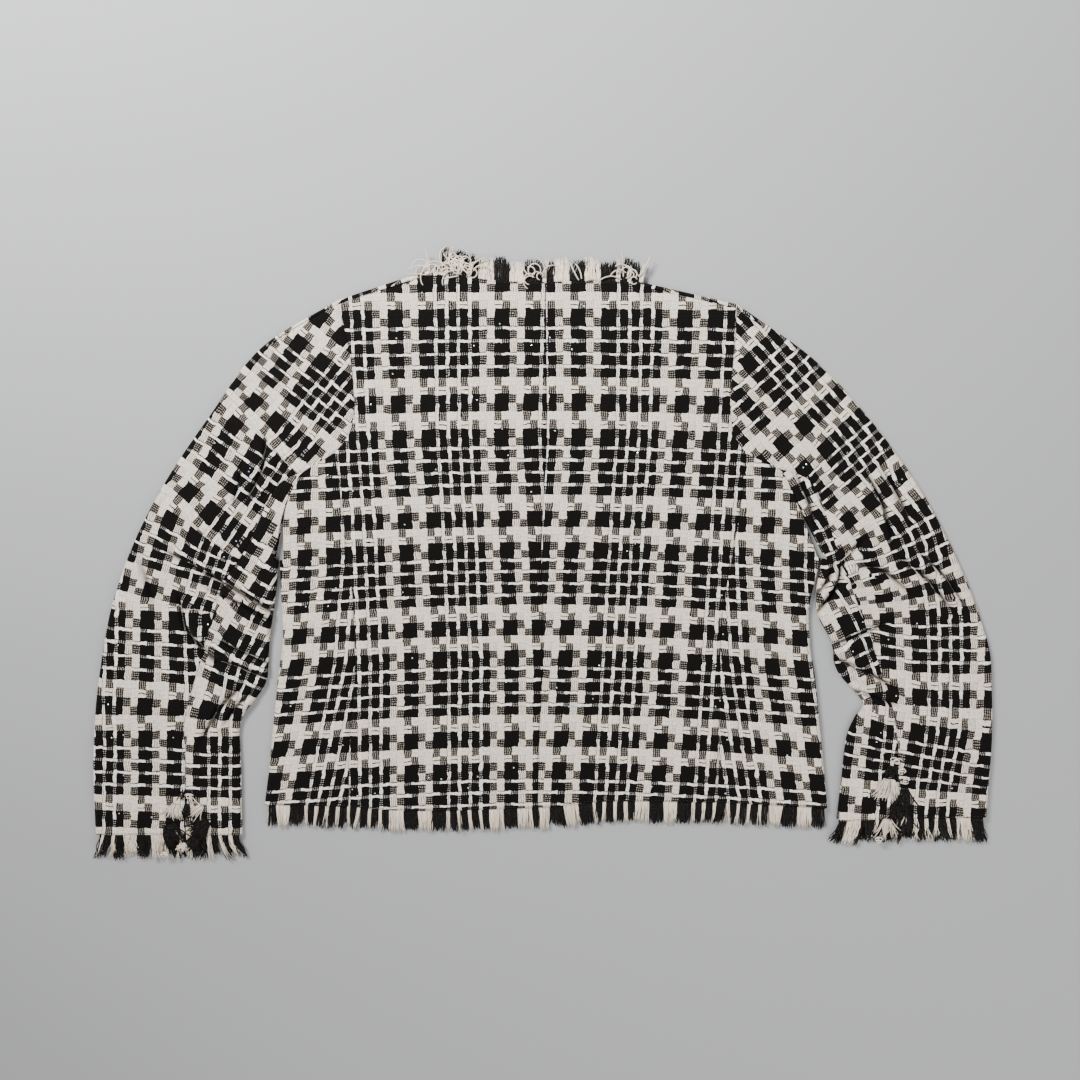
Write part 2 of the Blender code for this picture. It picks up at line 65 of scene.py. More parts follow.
WARP_MARK = 44.0  # the yarn of the repeat whose place the tables of the back give
# The crosswise yarns lie lower towards the sides of the back, by so much at two heights.
DROOP_AT, DROOP_DEPTH = (-60.0, 190.0), (10.5, 3.5)
HALF_BACK, DROOP_POWER = 245.0, 1.8
TABLE_BEYOND = (40, 30)  # how far below and above its rows a table of warps runs on
HEM_STEPS = 240
SHOULDER_EASE = 0.6  # of the sleeve's first section, over which its edge turns from the shoulder
# Lengths that say how many facets an edge has.
SIDE_LENGTH, PRINCESS_LENGTH, SIDE_PANEL_WIDTH = 228, 322, 76
SHOULDER_LENGTH, NECK_LENGTH = 92, 98
UNDERARM_LENGTH, SLEEVE_LENGTH, UNDER_SLEEVE_WIDTH = 150, 330, 64

Side = namedtuple("Side", "up_left left up_right right")
Seam = namedtuple("Seam", "left_x left_y centre_x centre_y right_x right_y")
Hole = namedtuple("Hole", "x y")
Sleeve = namedtuple("Sleeve", "outer_x outer_y seam_x seam_y inner_x inner_y")
Point = namedtuple("Point", "x y")
Swell = namedtuple("Swell", "x y long wide lean rise")
Fold = namedtuple("Fold", "x y mid_x mid_y end_x end_y rise left right tuck")
Tuft = namedtuple("Tuft", "x y wide way long splay pale")
Loop = namedtuple("Loop", "x y size")
Spine = namedtuple("Spine", "yarn x y")
Warp = namedtuple("Warp", "y left right repeat")
Weft = namedtuple("Weft", "y yarn")

SIDES = [
    Side(-18, -233.4, -16.2, 251.9),
    Side(-45, -232.8, -40, 246),
    Side(-72, -231.8, -64, 241.8),
    Side(-92, -231.8, -98, 243.7),
    Side(-125, -236.6, -124, 248.1),
    Side(-167, -241.1, -178, 254.1),
    Side(-210, -245.8, -220, 258.6),
    Side(-239.2, -249.8, -242.5, 260.8),
]
BACK_SEAMS = [
    Seam(-173.3, -241.1, -1.8, -242, 160.5, -237.4),
    Seam(-171.9, -187, -0.9, -187, 161.9, -187),
    Seam(-166.5, -118, 2, -118, 162.1, -109),
    Seam(-167.9, -54, 2.7, -60, 164.5, -60),
    Seam(-172.1, -13.5, 1.4, -13.5, 172.1, -13.5),
    Seam(-177, 32, 3.6, 40, 179.4, 32),
    Seam(-182.4, 79, 6.3, 94, 182.9, 79),
]
CENTRE_TOP = [Point(5.8, 165.0), Point(5.3, 228.4)]
HEM = [
    Point(-249.8, -239.2),
    Point(-173.3, -241.1),
    Point(-116.7, -244.8),
    Point(-1.8, -242),
    Point(60, -236.5),
    Point(160.5, -237.4),
    Point(260.8, -242.5),
]
NECK_LEFT = [Point(-90.6, 242.0), Point(-75.6, 236.8), Point(-55.1, 231.5), Point(-26.7, 228.8)]
NECK_RIGHT = [Point(93.4, 228.0), Point(73.0, 228.6), Point(53.4, 228.8), Point(30.0, 228.8)]
NECK_DROP = 74.0
ARMHOLE_LEFT = [
    Hole(-179.3, 213),
    Hole(-169, 169.7),
    Hole(-165, 125.4),
    Hole(-168.5, 98),
    Hole(-182.4, 79),
    Hole(-208.2, 62.9),
    Hole(-216.5, 54),
    Hole(-228.5, 24),
    Hole(-233.8, -18),
]
ARMHOLE_RIGHT = [
    Hole(174.5, 209.5),
    Hole(172.6, 171),
    Hole(169.3, 130),
    Hole(171.5, 100),
    Hole(182.9, 79),
    Hole(208.5, 66),
    Hole(218.1, 57.5),
    Hole(233.5, 25),
    Hole(252.3, -16.2),
]
PRINCESS_ROW, SLEEVE_SEAM_ROW, TIP_ROW = 4, 5, 6
SLEEVE_FINER = 1.8  # creases need finer facets there
CORNER = 2  # the sleeve section that ends at the underarm
SLEEVE_LEFT = [
    Sleeve(-179.3, 213, -208.2, 62.9, -216.5, 54),
    Sleeve(-248, 170.6, -235.5, 47, -228.5, 24),
    Sleeve(-295.3, 109.3, -261.3, -4.5, -234.2, -18),
    Sleeve(-336.7, 48.6, -280.6, -34.9, -237.6, -50),
    Sleeve(-366.6, -9, -293.3, -67.8, -243.4, -90.6),
    Sleeve(-385.7, -63.3, -302.2, -100.4, -246.5, -125.2),
    Sleeve(-395.8, -113.4, -312.3, -131.5, -256.7, -143.5),
    Sleeve(-401.8, -159.1, -319.9, -163.1, -270.7, -165.5),
    Sleeve(-404.6, -208.8, -320.3, -208.2, -270.8, -207.8),
    Sleeve(-403.6, -267, -321.1, -267, -270.6, -267),
]
SLEEVE_RIGHT = [
    Sleeve(174.5, 209.5, 208.5, 66, 218.1, 57.5),
    Sleeve(243, 161, 243.5, 49, 233.5, 25),
    Sleeve(292.3, 109.7, 268.5, -16, 252.7, -16.2),
    Sleeve(334.4, 54.3, 280, -45, 248.4, -46),
    Sleeve(364.3, 2.7, 289, -68, 250, -68),
    Sleeve(384, -39, 297, -89, 262.3, -92),
    Sleeve(396, -71, 304.3, -110, 268, -118),
    Sleeve(405.5, -103, 311, -131, 291, -146),
    Sleeve(407.9, -140, 317.6, -151, 284, -161),
    Sleeve(408.7, -178.4, 322.5, -180, 277, -180),
    Sleeve(407, -218.9, 324.3, -220, 272.8, -221),
    Sleeve(405.1, -251.3, 325, -252, 269.2, -254),
]
SWELLS = [
    Swell(-318, 20, 70, 34, 54, 2.2),
    Swell(-352, -130, 70, 32, 80, 1.8),
    Swell(352, -150, 70, 32, 96, 1.8),
    Swell(-96, -60, 120, 44, 88, -1.3),
    Swell(88, -90, 120, 40, 92, -1.2),
    Swell(-60, 130, 80, 40, 20, -1),
    Swell(92, 118, 80, 40, -20, -1),
    Swell(-205, -120, 80, 16, 88, -1.2),
    Swell(205, -120, 80, 16, 92, -1.2),
]
# Creases of each sleeve, each along a curve through three places: a height, negative for a
# groove, how far it falls away on the left and right of its run, and the cloth drawn into it
# from the left or, where negative, from the right.
FOLDS = {
    "left": [
        Fold(-331.5, -10.8, -286.8, -35.2, -217, -78.8, -5, 2.3, 2.3, 13),
        Fold(-328, -19, -285.1, -42.5, -217.1, -85.1, 5, 4, 8, 0),
        Fold(-294.2, -44.3, -265.5, -57.9, -229.6, -79.7, -4.5, 2.2, 2.2, 0),
        Fold(-324, -48.8, -317.3, -79.7, -292.5, -108.8, -5, 2.5, 2.5, 8),
        Fold(-314.2, -54.2, -307.4, -81.5, -284.3, -103.3, 4.2, 7, 4, 0),
        Fold(-295.1, -105.2, -271.7, -113.4, -239.3, -127.1, -4.4, 2.3, 2.3, 7),
        Fold(-293.3, -99.7, -270.7, -107.9, -239.2, -120.7, 3.6, 4.5, 4, 0),
        Fold(-289.5, -89.7, -268.8, -99.7, -240.9, -113.4, -3.6, 2.1, 2.1, 4),
        Fold(-305.4, -180.2, -289.5, -152.7, -268.4, -130.7, -4.4, 2.6, 2.6, 6),
        Fold(-297.3, -183.9, -282.3, -156.4, -263, -136.2, 3.4, 5, 5, 0),
        Fold(-285.2, -165.5, -271.3, -147.2, -255.7, -132.6, -3.4, 2.2, 2.2, 3),
        Fold(-243.6, 93.3, -247.6, 62.9, -264.2, 30.6, -4, 2.6, 2.6, -6),
        Fold(-236.5, 89.7, -240.5, 59.3, -256.2, 28.8, 3.4, 3.5, 9, 0),
        Fold(-266.5, 64.7, -269.4, 48.6, -274.1, 32.4, -2.8, 1.8, 1.8, -3),
        Fold(-351.1, 0, -342.4, -18, -337.5, -45.2, 2.6, 9, 7, 0),
        Fold(-358.7, -18, -351.8, -36.1, -346.8, -57.9, -2, 4, 4, 0),
    ],
    "right": [
        Fold(288.1, 0, 271.2, -18, 267, -36.1, -5, 2.5, 2.5, 8),
        Fold(267, -34.3, 260.9, -48.8, 242.2, -70.6, -5, 2.5, 2.5, 8),
        Fold(293.6, -5.4, 277.6, -23.5, 272.5, -43.4, 4.6, 8, 3.5, 0),
        Fold(268.6, -19.9, 260.7, -39.8, 245.6, -57.9, 3.4, 3, 3, 0),
        Fold(263.2, -19.9, 256.2, -37.9, 240.2, -56.1, -3.6, 2.3, 2.3, 4),
        Fold(290.7, 61.1, 305.6, 32.4, 314.2, 0, -4.4, 2.3, 2.3, 7),
        Fold(297.9, 64.7, 312.7, 36, 321.3, 5.4, 4, 4, 7, 0),
        Fold(306.9, 61.1, 321.7, 36, 331, 14.4, -3.2, 2.2, 2.2, 4),
        Fold(320.7, -14.4, 346.3, -34.3, 368.5, -61.5, -4.4, 2.3, 2.3, 7),
        Fold(328.8, -11.7, 353.5, -30.7, 373.8, -56.1, 3.8, 4, 4, 0),
        Fold(338.7, -10.8, 360.7, -30.7, 380.2, -57.9, -3.8, 2.2, 2.2, 5),
        Fold(283, -21.7, 306.5, -27.1, 332.1, -47, -3.2, 2.6, 2.6, 4),
        Fold(279.5, -30.7, 303.1, -36.1, 323.2, -54.2, 3.2, 8, 8, 0),
        Fold(258.8, -95.1, 285.8, -85.1, 314.5, -72.4, -4.4, 2.3, 2.3, -7),
        Fold(262.5, -102.4, 287.7, -92.4, 316.5, -81.5, 3.6, 4, 5, 0),
        Fold(260.7, -104.3, 288.1, -116.1, 317.3, -130.7, -4.4, 2.3, 2.3, -7),
        Fold(262.7, -112.5, 290, -124.3, 317.4, -138, 3.4, 5, 4, 0),
        Fold(273.8, -132.6, 297.5, -139.9, 319.4, -148.1, -3.6, 2.3, 2.3, -5),
        Fold(227.9, 59.3, 239, 36, 245.6, 12.6, -3.2, 2.6, 2.6, 4),
        Fold(235.1, 62.9, 245.3, 37.8, 251.9, 14.4, 2.8, 3, 6, 0),
    ],
}

# Tufts that fray out of the slit in each cuff: the middle of their roots, how wide they are there,
# which way they hang in degrees, how long they are and how far they splay.
VENT_TUFTS = {
    "left": [
        Tuft(-318.9, -224.4, 9, 265, 14.4, 30, 0),
        Tuft(-328.2, -236.5, 9.9, 257, 17.1, 20, 1),
        Tuft(-303.7, -238.3, 8.1, 222, 18, 12, 1),
        Tuft(-318.5, -236, 4.5, 266, 19, 8, 0),
        Tuft(-315.3, -228.1, 3.6, 262, 13.5, 40, 1),
        Tuft(-335.8, -255, 14.4, 285, 24.3, 18, 0),
        Tuft(-299.3, -251.3, 12.6, 232, 23.4, 14, 0),
        Tuft(-322.4, -272.6, 8.1, 268, 9.9, 20, 1),
        Tuft(-312.3, -267, 10.8, 262, 16.2, 24, 0),
    ],
    "right": [
        Tuft(318.5, -202.3, 10.8, 262, 12.6, 30, 0),
        Tuft(315.1, -213.4, 12.6, 262, 23.4, 30, 1),
        Tuft(328.9, -221.7, 9, 272, 25.2, 14, 0),
        Tuft(328.3, -242.9, 10.8, 268, 27, 16, 0),
        Tuft(313.8, -249.4, 7.2, 268, 21.6, 26, 1),
        Tuft(329.3, -248.5, 3.6, 270, 9.9, 16, 1),
        Tuft(321.8, -237.4, 7.2, 262, 23.4, 16, 0),
    ],
}
VENT_LOOPS = {
    "left": [
        Loop(-316.3, -230.9, 6),
        Loop(-325.3, -277.2, 5),
        Loop(-340, -283.7, 6),
    ],
    "right": [
        Loop(320.3, -197.7, 7.5),
        Loop(325.9, -207.8, 6),
        Loop(328.8, -217.1, 5),
        Loop(306.9, -270.7, 6),
    ],
}

# The lie of the yarns on each piece of a sleeve: one lengthwise yarn of the repeat, and the
# places where crosswise yarns meet it.
SPINE_STEPS, SPINE_BEYOND = 500, 60  # steps along that line, and as many past each of its ends
PLACES_AT_ONCE = 2000  # compared with it, to save memory
SPINE_YARN = {"upper_left": 44.0, "under_left": 60.0, "upper_right": 60.0, "under_right": 60.0}
SPINES = {
    "upper_left": [
        Spine(44, -195.1, 197.1),
        Spine(60, -213.2, 174.2),
        Spine(100, -253.1, 123.6),
        Spine(116, -272.2, 103.1),
        Spine(156, -312.6, 44.1),
        Spine(172, -329.2, 18.9),
        Spine(212, -349.2, -44.3),
        Spine(228, -352.4, -69.7),
        Spine(268, -355.7, -149),
        Spine(284, -355.4, -178.4),
        Spine(324, -357.7, -253.1),
    ],
    "under_left": [
        Spine(160, -211.3, 27),
        Spine(190, -243.5, -28.9),
        Spine(228, -271.2, -76.9),
        Spine(250, -290.7, -113.4),
        Spine(268, -304, -149.9),
        Spine(284, -306.4, -183.9),
        Spine(324, -307.5, -253.1),
    ],
    "upper_right": [
        Spine(4, 184.8, 157.3),
        Spine(44, 234.6, 102.2),
        Spine(60, 254.6, 81.7),
        Spine(100, 295.6, 35.1),
        Spine(116, 312.2, 11.7),
        Spine(140, 329.9, -25.3),
        Spine(172, 340.7, -69.7),
        Spine(212, 342, -142.6),
        Spine(228, 339.8, -173.8),
        Spine(252, 333.3, -217.1),
        Spine(270, 331.2, -251.3),
    ],
    "under_right": [
        Spine(103, 229.1, 36),
        Spine(125, 247.6, 0),
        Spine(157, 269.1, -54.2),
        Spine(189, 289.8, -108.8),
        Spine(212, 302.2, -149.9),
        Spine(228, 302.6, -173.8),
        Spine(250, 299.5, -206.9),
        Spine(269, 297.3, -242),
    ],
}

# Where the lengthwise yarns lie on the back: the place of the 44th yarn of a repeat on each side
# of the centre seam, and the width of a repeat.
WARPS = [
    Warp(197.1, -33.4, 33.8, 94.4),
    Warp(94.2, -34.5, 34.5, 90.5),
    Warp(18, -30.6, 29.7, 89.9),
    Warp(-13.5, -29.3, 28, 89.9),
    Warp(-108.8, -25.4, 22.6, 90.2),
    Warp(-198, -25.9, 17.7, 90.2),
]
SIDE_WARPS = [  # the same on the side panels
    Warp(-54, -213, 205, 90),
    Warp(-108.8, -218, 208.3, 90),
    Warp(-200, -236.5, 221.5, 90),
]
WEFTS = [
    Weft(240, -19),
    Weft(197.6, 4),
    Weft(122.7, 44),
    Weft(91.9, 60),
    Weft(19.4, 100),
    Weft(-8.1, 116),
    Weft(-78.3, 156),
    Weft(-105.2, 172),
    Weft(-178.8, 212),
    Weft(-207.8, 228),
    Weft(-262, 258),
]


class JacketCloth(bpy.types.PropertyGroup):
    """Sizes of the cloth, in millimetres."""

    wall: bpy.props.FloatProperty(
        name="Cloth thickness", description="Thickness of the tweed, in mm", default=2.4, min=1.0
    )
    seam_gap: bpy.props.FloatProperty(
        name="Seam gap", description="Space between two pieces at a seam, in mm", default=0.3
    )
    roll: bpy.props.FloatProperty(
        name="Edge roll", description="Radius of a rolled edge at the cloth's middle, in mm", default=3.1
    )
    mesh_step: bpy.props.FloatProperty(
        name="Mesh step", description="Length of the cloth's facets, in mm", default=2.6, min=1.0
    )
    seam_dip: bpy.props.FloatProperty(
        name="Seam dip", description="How far the cloth sinks into a seam, in mm", default=1.1
    )
    warp_pitch: bpy.props.FloatProperty(
        name="Warp pitch", description="Space between lengthwise yarns, in mm", default=1.607
    )
    weft_pitch: bpy.props.FloatProperty(
        name="Weft pitch", description="Space between crosswise yarns, in mm", default=1.80
    )


class JacketTrim(bpy.types.PropertyGroup):
    """Sizes of the frayed edges, the stitches and the sequins, in millimetres."""

    fringe: bpy.props.FloatProperty(
        name="Fringe length", description="Length of the frayed yarns, in mm", default=21.5, min=2.0
    )
    ply: bpy.props.FloatProperty(
        name="Ply radius", description="Radius of one ply of a frayed yarn, in mm", default=0.46
    )
    stitch: bpy.props.FloatProperty(
        name="Stitch length", description="Length of one stitch, in mm", default=3.2, min=1.0
    )
    sequin: bpy.props.FloatProperty(
        name="Sequin size", description="Width of a sequin, in mm", default=1.3, min=0.5
    )
    sequins: bpy.props.IntProperty(
        name="Sequins", description="How many sequins show on the back", default=230, min=0
    )


class JacketColours(bpy.types.PropertyGroup):
    """Colours of the yarns and the stage, as sRGB hex."""

    white: bpy.props.StringProperty(name="Off-white yarn", description="sRGB hex", default="ECDFCF")
    lurex: bpy.props.StringProperty(name="Bright yarn", description="sRGB hex", default="F8F1E8")
    black: bpy.props.StringProperty(name="Black yarn", description="sRGB hex", default="110F0E")
    thread: bpy.props.StringProperty(name="Thread", description="sRGB hex", default="2B2826")
    sky: bpy.props.StringProperty(name="Light from all round", description="sRGB hex", default="FFFDFA")
    floor: bpy.props.StringProperty(name="Floor", description="sRGB hex", default="A4A5A7")


def linear(code):
    """An sRGB hex colour as the linear RGBA that a shader's socket takes."""
    parts = [int(code[at : at + 2], 16) / 255 for at in (0, 2, 4)]
    return (*[c / 12.92 if c <= 0.04045 else ((c + 0.055) / 1.055) ** 2.4 for c in parts], 1.0)


# ---- Curves and surfaces, all in table millimetres ----


def through(points):
    """A smooth curve through POINTS: a function of places counted in rows."""
    rows = np.array([tuple(point) for point in points], float)
    ends = np.vstack([2 * rows[0] - rows[1], rows, 2 * rows[-1] - rows[-2]])

    def at(places):
        places = np.atleast_1d(np.asarray(places, float))
        row = np.clip(places.astype(int), 0, len(rows) - 2)
        share = (places - row)[:, None]
        before, start, end, after = (ends[row + step] for step in range(4))
        return 0.5 * (
            2 * start
            + (end - before) * share
            + (2 * before - 5 * start + 4 * end - after) * share**2
            + (3 * start - before - 3 * end + after) * share**3
        )

    return at


def run_along(points):
    """How far each point of a line lies from its first one, along the line."""
    return np.concatenate([[0], np.cumsum(np.linalg.norm(np.diff(points, axis=0), axis=1))])


def even(at, first, last, count):
    """COUNT + 1 points of a curve, evenly spaced along its length."""
    places = np.linspace(first, last, FINE_STEPS + 1)
    run = run_along(at(places))
    return at(np.interp(np.linspace(0, run[-1], count + 1), run, places))


def unit(ways):
    """The same ways with a length of one."""
    return ways / np.maximum(np.linalg.norm(ways, axis=-1, keepdims=True), 1e-9)


def normals(points):
    """The direction a quarter turn clockwise from the way the points run, at each point."""
    ways = unit(np.gradient(points, axis=0))
    return np.stack([ways[:, 1], -ways[:, 0]], axis=1)


def patch(first, last, left, right, reach=1.0):
    """Flat places inside four edges that share their corners, as a grid [row][column].

    The first edge's shape fades out over REACH of the way to the last edge.
    """
    columns = np.linspace(0, 1, len(first))[None, :, None]
    rows = np.linspace(0, 1, len(left))[:, None, None]
    across = (1 - columns) * left[:, None] + columns * right[:, None]
    chords = [(1 - columns[0]) * edge[0] + columns[0] * edge[-1] for edge in (first, last)]
    early = np.clip(1 - rows / reach, 0, 1)
    return across + early * (first - chords[0]) + rows * (last - chords[1])


def fold_frame(spots, fold):
    """Distance to the left of a crease, how far past its ends, its fade there, and its way."""
    line = through([fold[0:2], fold[2:4], fold[4:6]])(np.linspace(0, 2, CREASE_STEPS + 1))
    apart = np.linalg.norm(line[1:] - line[:-1], axis=1).mean()
    nearest = ((spots[..., None, :] - line) ** 2).sum(-1).argmin(-1)
    away = spots - line[nearest]
    way = unit(np.gradient(line, axis=0))[nearest]
    left = way[..., 0] * away[..., 1] - way[..., 1] * away[..., 0]
    along = nearest + (away * way).sum(-1) / apart
    past = np.maximum(np.maximum(-along, along - CREASE_STEPS), 0) * apart
    middle = np.sin(math.pi * np.clip(along / CREASE_STEPS, 0, 1)) ** 0.7
    return left, past, CREASE_ENDS + (1 - CREASE_ENDS) * middle, way


def rise(spots, where):
    """How far the upper layer is lifted or sunk above places on the floor."""
    total = np.zeros(spots.shape[:-1])
    for swell in SWELLS:
        lean = math.radians(swell.lean)
        away_x, away_y = spots[..., 0] - swell.x, spots[..., 1] - swell.y
        along = away_x * math.cos(lean) + away_y * math.sin(lean)
        across = away_y * math.cos(lean) - away_x * math.sin(lean)
        total += swell.rise * np.exp(-((along / swell.long) ** 2) - (across / swell.wide) ** 2)
    total += creases(spots, where, 1) + creases(spots, where, -1)
    return np.maximum(total, DEEPEST) + ripple(spots)


def creases(spots, where, sign):
    """The height that the ridges (SIGN 1) or the grooves (SIGN -1) add at places on the floor."""
    total = np.zeros(spots.shape[:-1])
    for fold in FOLDS.get(where, []):
        if fold.rise * sign > 0:
            left, past, fade, _ = fold_frame(spots, fold)
            wide = np.where(left > 0, fold.left, fold.right)
            total += fold.rise * fade * np.exp(-((left / wide) ** 2) - (past / CREASE_EASE) ** 2)
    return total


def ripple(spots):
    """The cloth's small unevenness: three low waves that bend, each with its height first."""
    x, y = spots[..., 0], spots[..., 1]
    return (
        0.22 * np.sin(x / 17.0 + 1.3 * np.sin(y / 41.0))
        + 0.18 * np.sin(y / 13.0 + 1.1 * np.sin(x / 29.0) + 0.7)
        + 0.12 * np.sin((x + y) / 8.3 + 2.0 * np.sin(x / 53.0))
    )


def edge_run(grid, axis, from_end):
    """Distance of each point of a grid from its first or last row (axis 0) or column (axis 1)."""
    steps = np.linalg.norm(np.diff(grid, axis=axis), axis=-1)
    if from_end:
        steps = np.flip(steps, axis)
    run = np.cumsum(steps, axis)
    pad = [(0, 0), (0, 0)]
    pad[axis] = (1, 0)
    run = np.pad(run, pad)
    return np.flip(run, axis) if from_end else run


class Half:
    """One side of the garment, with everything that its pieces share along their edges."""

    def __init__(self, side, cloth):
        self.side, self.cloth = side, cloth
        self.sign = -1 if side == "left" else 1
        left = side == "left"
        self.half_wall = cloth.wall / 2
        self.low = self.half_wall
        self.high = self.low + 2 * cloth.roll
        self.reach = cloth.roll + self.half_wall
        self.gap = cloth.seam_gap
        self.centre_gap = np.array([self.sign * self.gap / 2, 0.0])
        self.holes = ARMHOLE_LEFT if left else ARMHOLE_RIGHT
        self.neck_rows = (NECK_LEFT if left else NECK_RIGHT) + [CENTRE_TOP[-1]]
        self.stations = SLEEVE_LEFT if left else SLEEVE_RIGHT
        self.shoulder_end = np.array(self.holes[0][:2])
        self.neck_point = np.array(self.neck_rows[0])
        along = unit(self.neck_point - self.shoulder_end)
        self.shoulder_out = np.array([-along[1], along[0]]) * -self.sign
        self.make_side(left)
        self.make_armhole()
        self.make_sleeve_edges()

    def facets(self, length, finer=1.0):
        """How many facets an edge of a length has."""
        return max(2, round(length / self.cloth.mesh_step * finer))

    def make_side(self, left):
        """The axis that the side edge rolls round, from hem to underarm, and the way out of it."""
        rows = [
            (row.left, row.up_left) if left else (row.right, row.up_right)
            for row in reversed(SIDES)
        ]
        edge = even(through(rows), 0, len(rows) - 1, self.facets(SIDE_LENGTH))
        out = normals(edge)
        out *= np.sign(out[:, :1]) * self.sign
        self.side_axis, self.side_out = edge - out * self.reach, out

    def make_armhole(self):
        """The armhole seam's points, and where each row of its table falls among them."""
        at = through(self.holes)
        points, self.marks = [], []
        for row in range(len(self.holes) - 1):
            length = np.linalg.norm(np.subtract(self.holes[row + 1], self.holes[row]))
            self.marks.append(len(points))
            points += list(even(at, row, row + 1, self.facets(length))[:-1])
        self.marks.append(len(points))
        points.append(np.array(self.holes[-1]))
        points[0] = self.shoulder_end - self.shoulder_out * self.reach
        self.armhole = np.array(points)

    def make_sleeve_edges(self):
        """The axes of the sleeve's two rolled edges, and the seam between its pieces."""
        last = len(self.stations) - 1
        under = self.facets(UNDERARM_LENGTH, SLEEVE_FINER)
        early = np.linspace(0, CORNER, under + 1)
        late = np.linspace(CORNER, last, self.facets(SLEEVE_LENGTH, SLEEVE_FINER) + 1)
        places = np.concatenate([early, late[1:]])
        edge = through([row[0:2] for row in self.stations])(places)
        out = normals(edge) * (-self.sign)
        ease = np.clip(1 - places / SHOULDER_EASE, 0, 1)[:, None]
        out = unit(out * (1 - ease) + self.shoulder_out * ease)
        self.outer_axis, self.outer_out = edge - out * self.reach, out
        self.back_seam = through([row[2:4] for row in self.stations])(places)
        low = through([row[4:6] for row in self.stations[CORNER:]])(late - CORNER)
        low_out = normals(low) * self.sign
        self.inner_axis, self.inner_out = low - low_out * self.reach, low_out
        self.corner_row = under

    def seam_side(self, points, way):
        """A seam's points moved half its gap to one side."""
        return points + normals(points) * way * self.gap / 2

    def parted(self, points, end):
        """Both edges draw back from the underarm so that each has room for its rolled edge."""
        start = self.marks[TIP_ROW]
        share = np.linspace(0, 1, len(points) - start)[:, None]
        points[start:] += (end - points[-1]) * share**2
        return points

    def body_armhole(self):
        return self.parted(self.seam_side(self.armhole, self.sign), self.side_axis[-1])

    def sleeve_armhole(self):
        return self.parted(self.seam_side(self.armhole, -self.sign), self.inner_axis[0])

    def seam(self, count):
        """COUNT + 1 points of the princess seam, from the hem up to the armhole."""
        rows = [
            (getattr(row, self.side + "_x"), getattr(row, self.side + "_y")) for row in BACK_SEAMS
        ]
        return even(through(rows), 0, len(rows) - 1, count)

    # The three kinds of place that a piece is made of.

    def upper(self, grid, where, dips):
        """The upper layer over a grid, sunk into the seams named by DIPS: first, left or right."""
        height = self.high + rise(grid, where)
        sink = np.zeros(height.shape)
        for name, axis, from_end in (("first", 0, False), ("left", 1, False), ("right", 1, True)):
            if name in dips:
                run = edge_run(grid, axis, from_end)
                sink = np.maximum(sink, self.cloth.seam_dip * np.exp(-((run / DIP_WIDTH) ** 2)))
        return np.concatenate([grid, (height - sink)[..., None]], axis=-1)

    def lower(self, grid):
        """The lower layer over a grid, flat on the floor."""
        return np.concatenate([grid, np.full(grid.shape[:-1] + (1,), self.low)], axis=-1)

    def rolled(self, axis, outward, where, turns):
        """A rolled edge: for each point of its axis, places at the TURNS, 0 above and pi below."""
        lift = rise(axis, where)[:, None]
        turns = np.asarray(turns)[None, :]
        flat = axis[:, None] + outward[:, None] * (self.cloth.roll * np.sin(turns))[..., None]
        middle = self.low + self.cloth.roll + lift / 2
        height = middle + (self.cloth.roll + lift / 2) * np.cos(turns)
        return np.concatenate([flat, height[..., None]], axis=-1)


def hem_between(start, end, count):
    """COUNT + 1 points along the hem from START to END."""
    curve = through(HEM)(np.linspace(0, len(HEM) - 1, HEM_STEPS + 1))
    across = np.linspace(start[0], end[0], count + 1)
    points = np.column_stack([across, np.interp(across, curve[:, 0], curve[:, 1])])
    points[0], points[-1] = start, end
    return points


# ---- The lie of the weave: which lengthwise and crosswise yarns cross at a place ----


def smooth_table(rows, x, y, at):
    """Column Y of a table against column X, by its rows, with straight ends."""
    xs = np.array([getattr(row, x) for row in rows])
    ys = np.array([getattr(row, y) for row in rows])
    order = np.argsort(xs)
    xs, ys = xs[order], ys[order]
    slope_low = (ys[1] - ys[0]) / (xs[1] - xs[0])
    slope_high = (ys[-1] - ys[-2]) / (xs[-1] - xs[-2])
    value = np.interp(at, xs, ys)
    value += np.minimum(at - xs[0], 0) * slope_low
    return value + np.maximum(at - xs[-1], 0) * slope_high


def droop(x, y):
    """How much lower the crosswise yarns lie towards the sides than at the middle."""
    return np.interp(y, DROOP_AT, DROOP_DEPTH) * (np.abs(x) / HALF_BACK) ** DROOP_POWER


def body_yarns(spots, side, panel):
    """The lengthwise and crosswise yarns at places on the back, its side panels or a front."""
    x, y = spots[..., 0], spots[..., 1]
    rows = SIDE_WARPS if panel == "side" else WARPS
    level = np.clip(y, rows[-1].y - TABLE_BEYOND[0], rows[0].y + TABLE_BEYOND[1])
    across = (x - smooth_table(rows, "y", side, level)) / smooth_table(rows, "y", "repeat", level)
    down = smooth_table(WEFTS, "y", "yarn", y + droop(x, y))
    return np.stack([WARP_MARK + across * WARP_REPEAT, down], axis=-1)


def drawn_in(spots, side):
    """Where the cloth at flat places would lie if nothing were drawn into the creases."""
    moved = spots.copy()
    for fold in FOLDS[side]:
        if fold.tuck:
            left, past, fade, way = fold_frame(spots, fold)
            away = left * np.sign(fold.tuck)
            share = np.clip(away / DRAWN_WIDTH / 2 + 0.5, 0, 1)
            hidden = fade * share**2 * (3 - 2 * share) * np.exp(-np.maximum(away, 0) / DRAWN_FADE)
            hidden = hidden * fold.tuck * np.exp(-((past / DRAWN_EASE) ** 2))
            moved += np.stack([-way[..., 1], way[..., 0]], axis=-1) * hidden[..., None]
    return moved


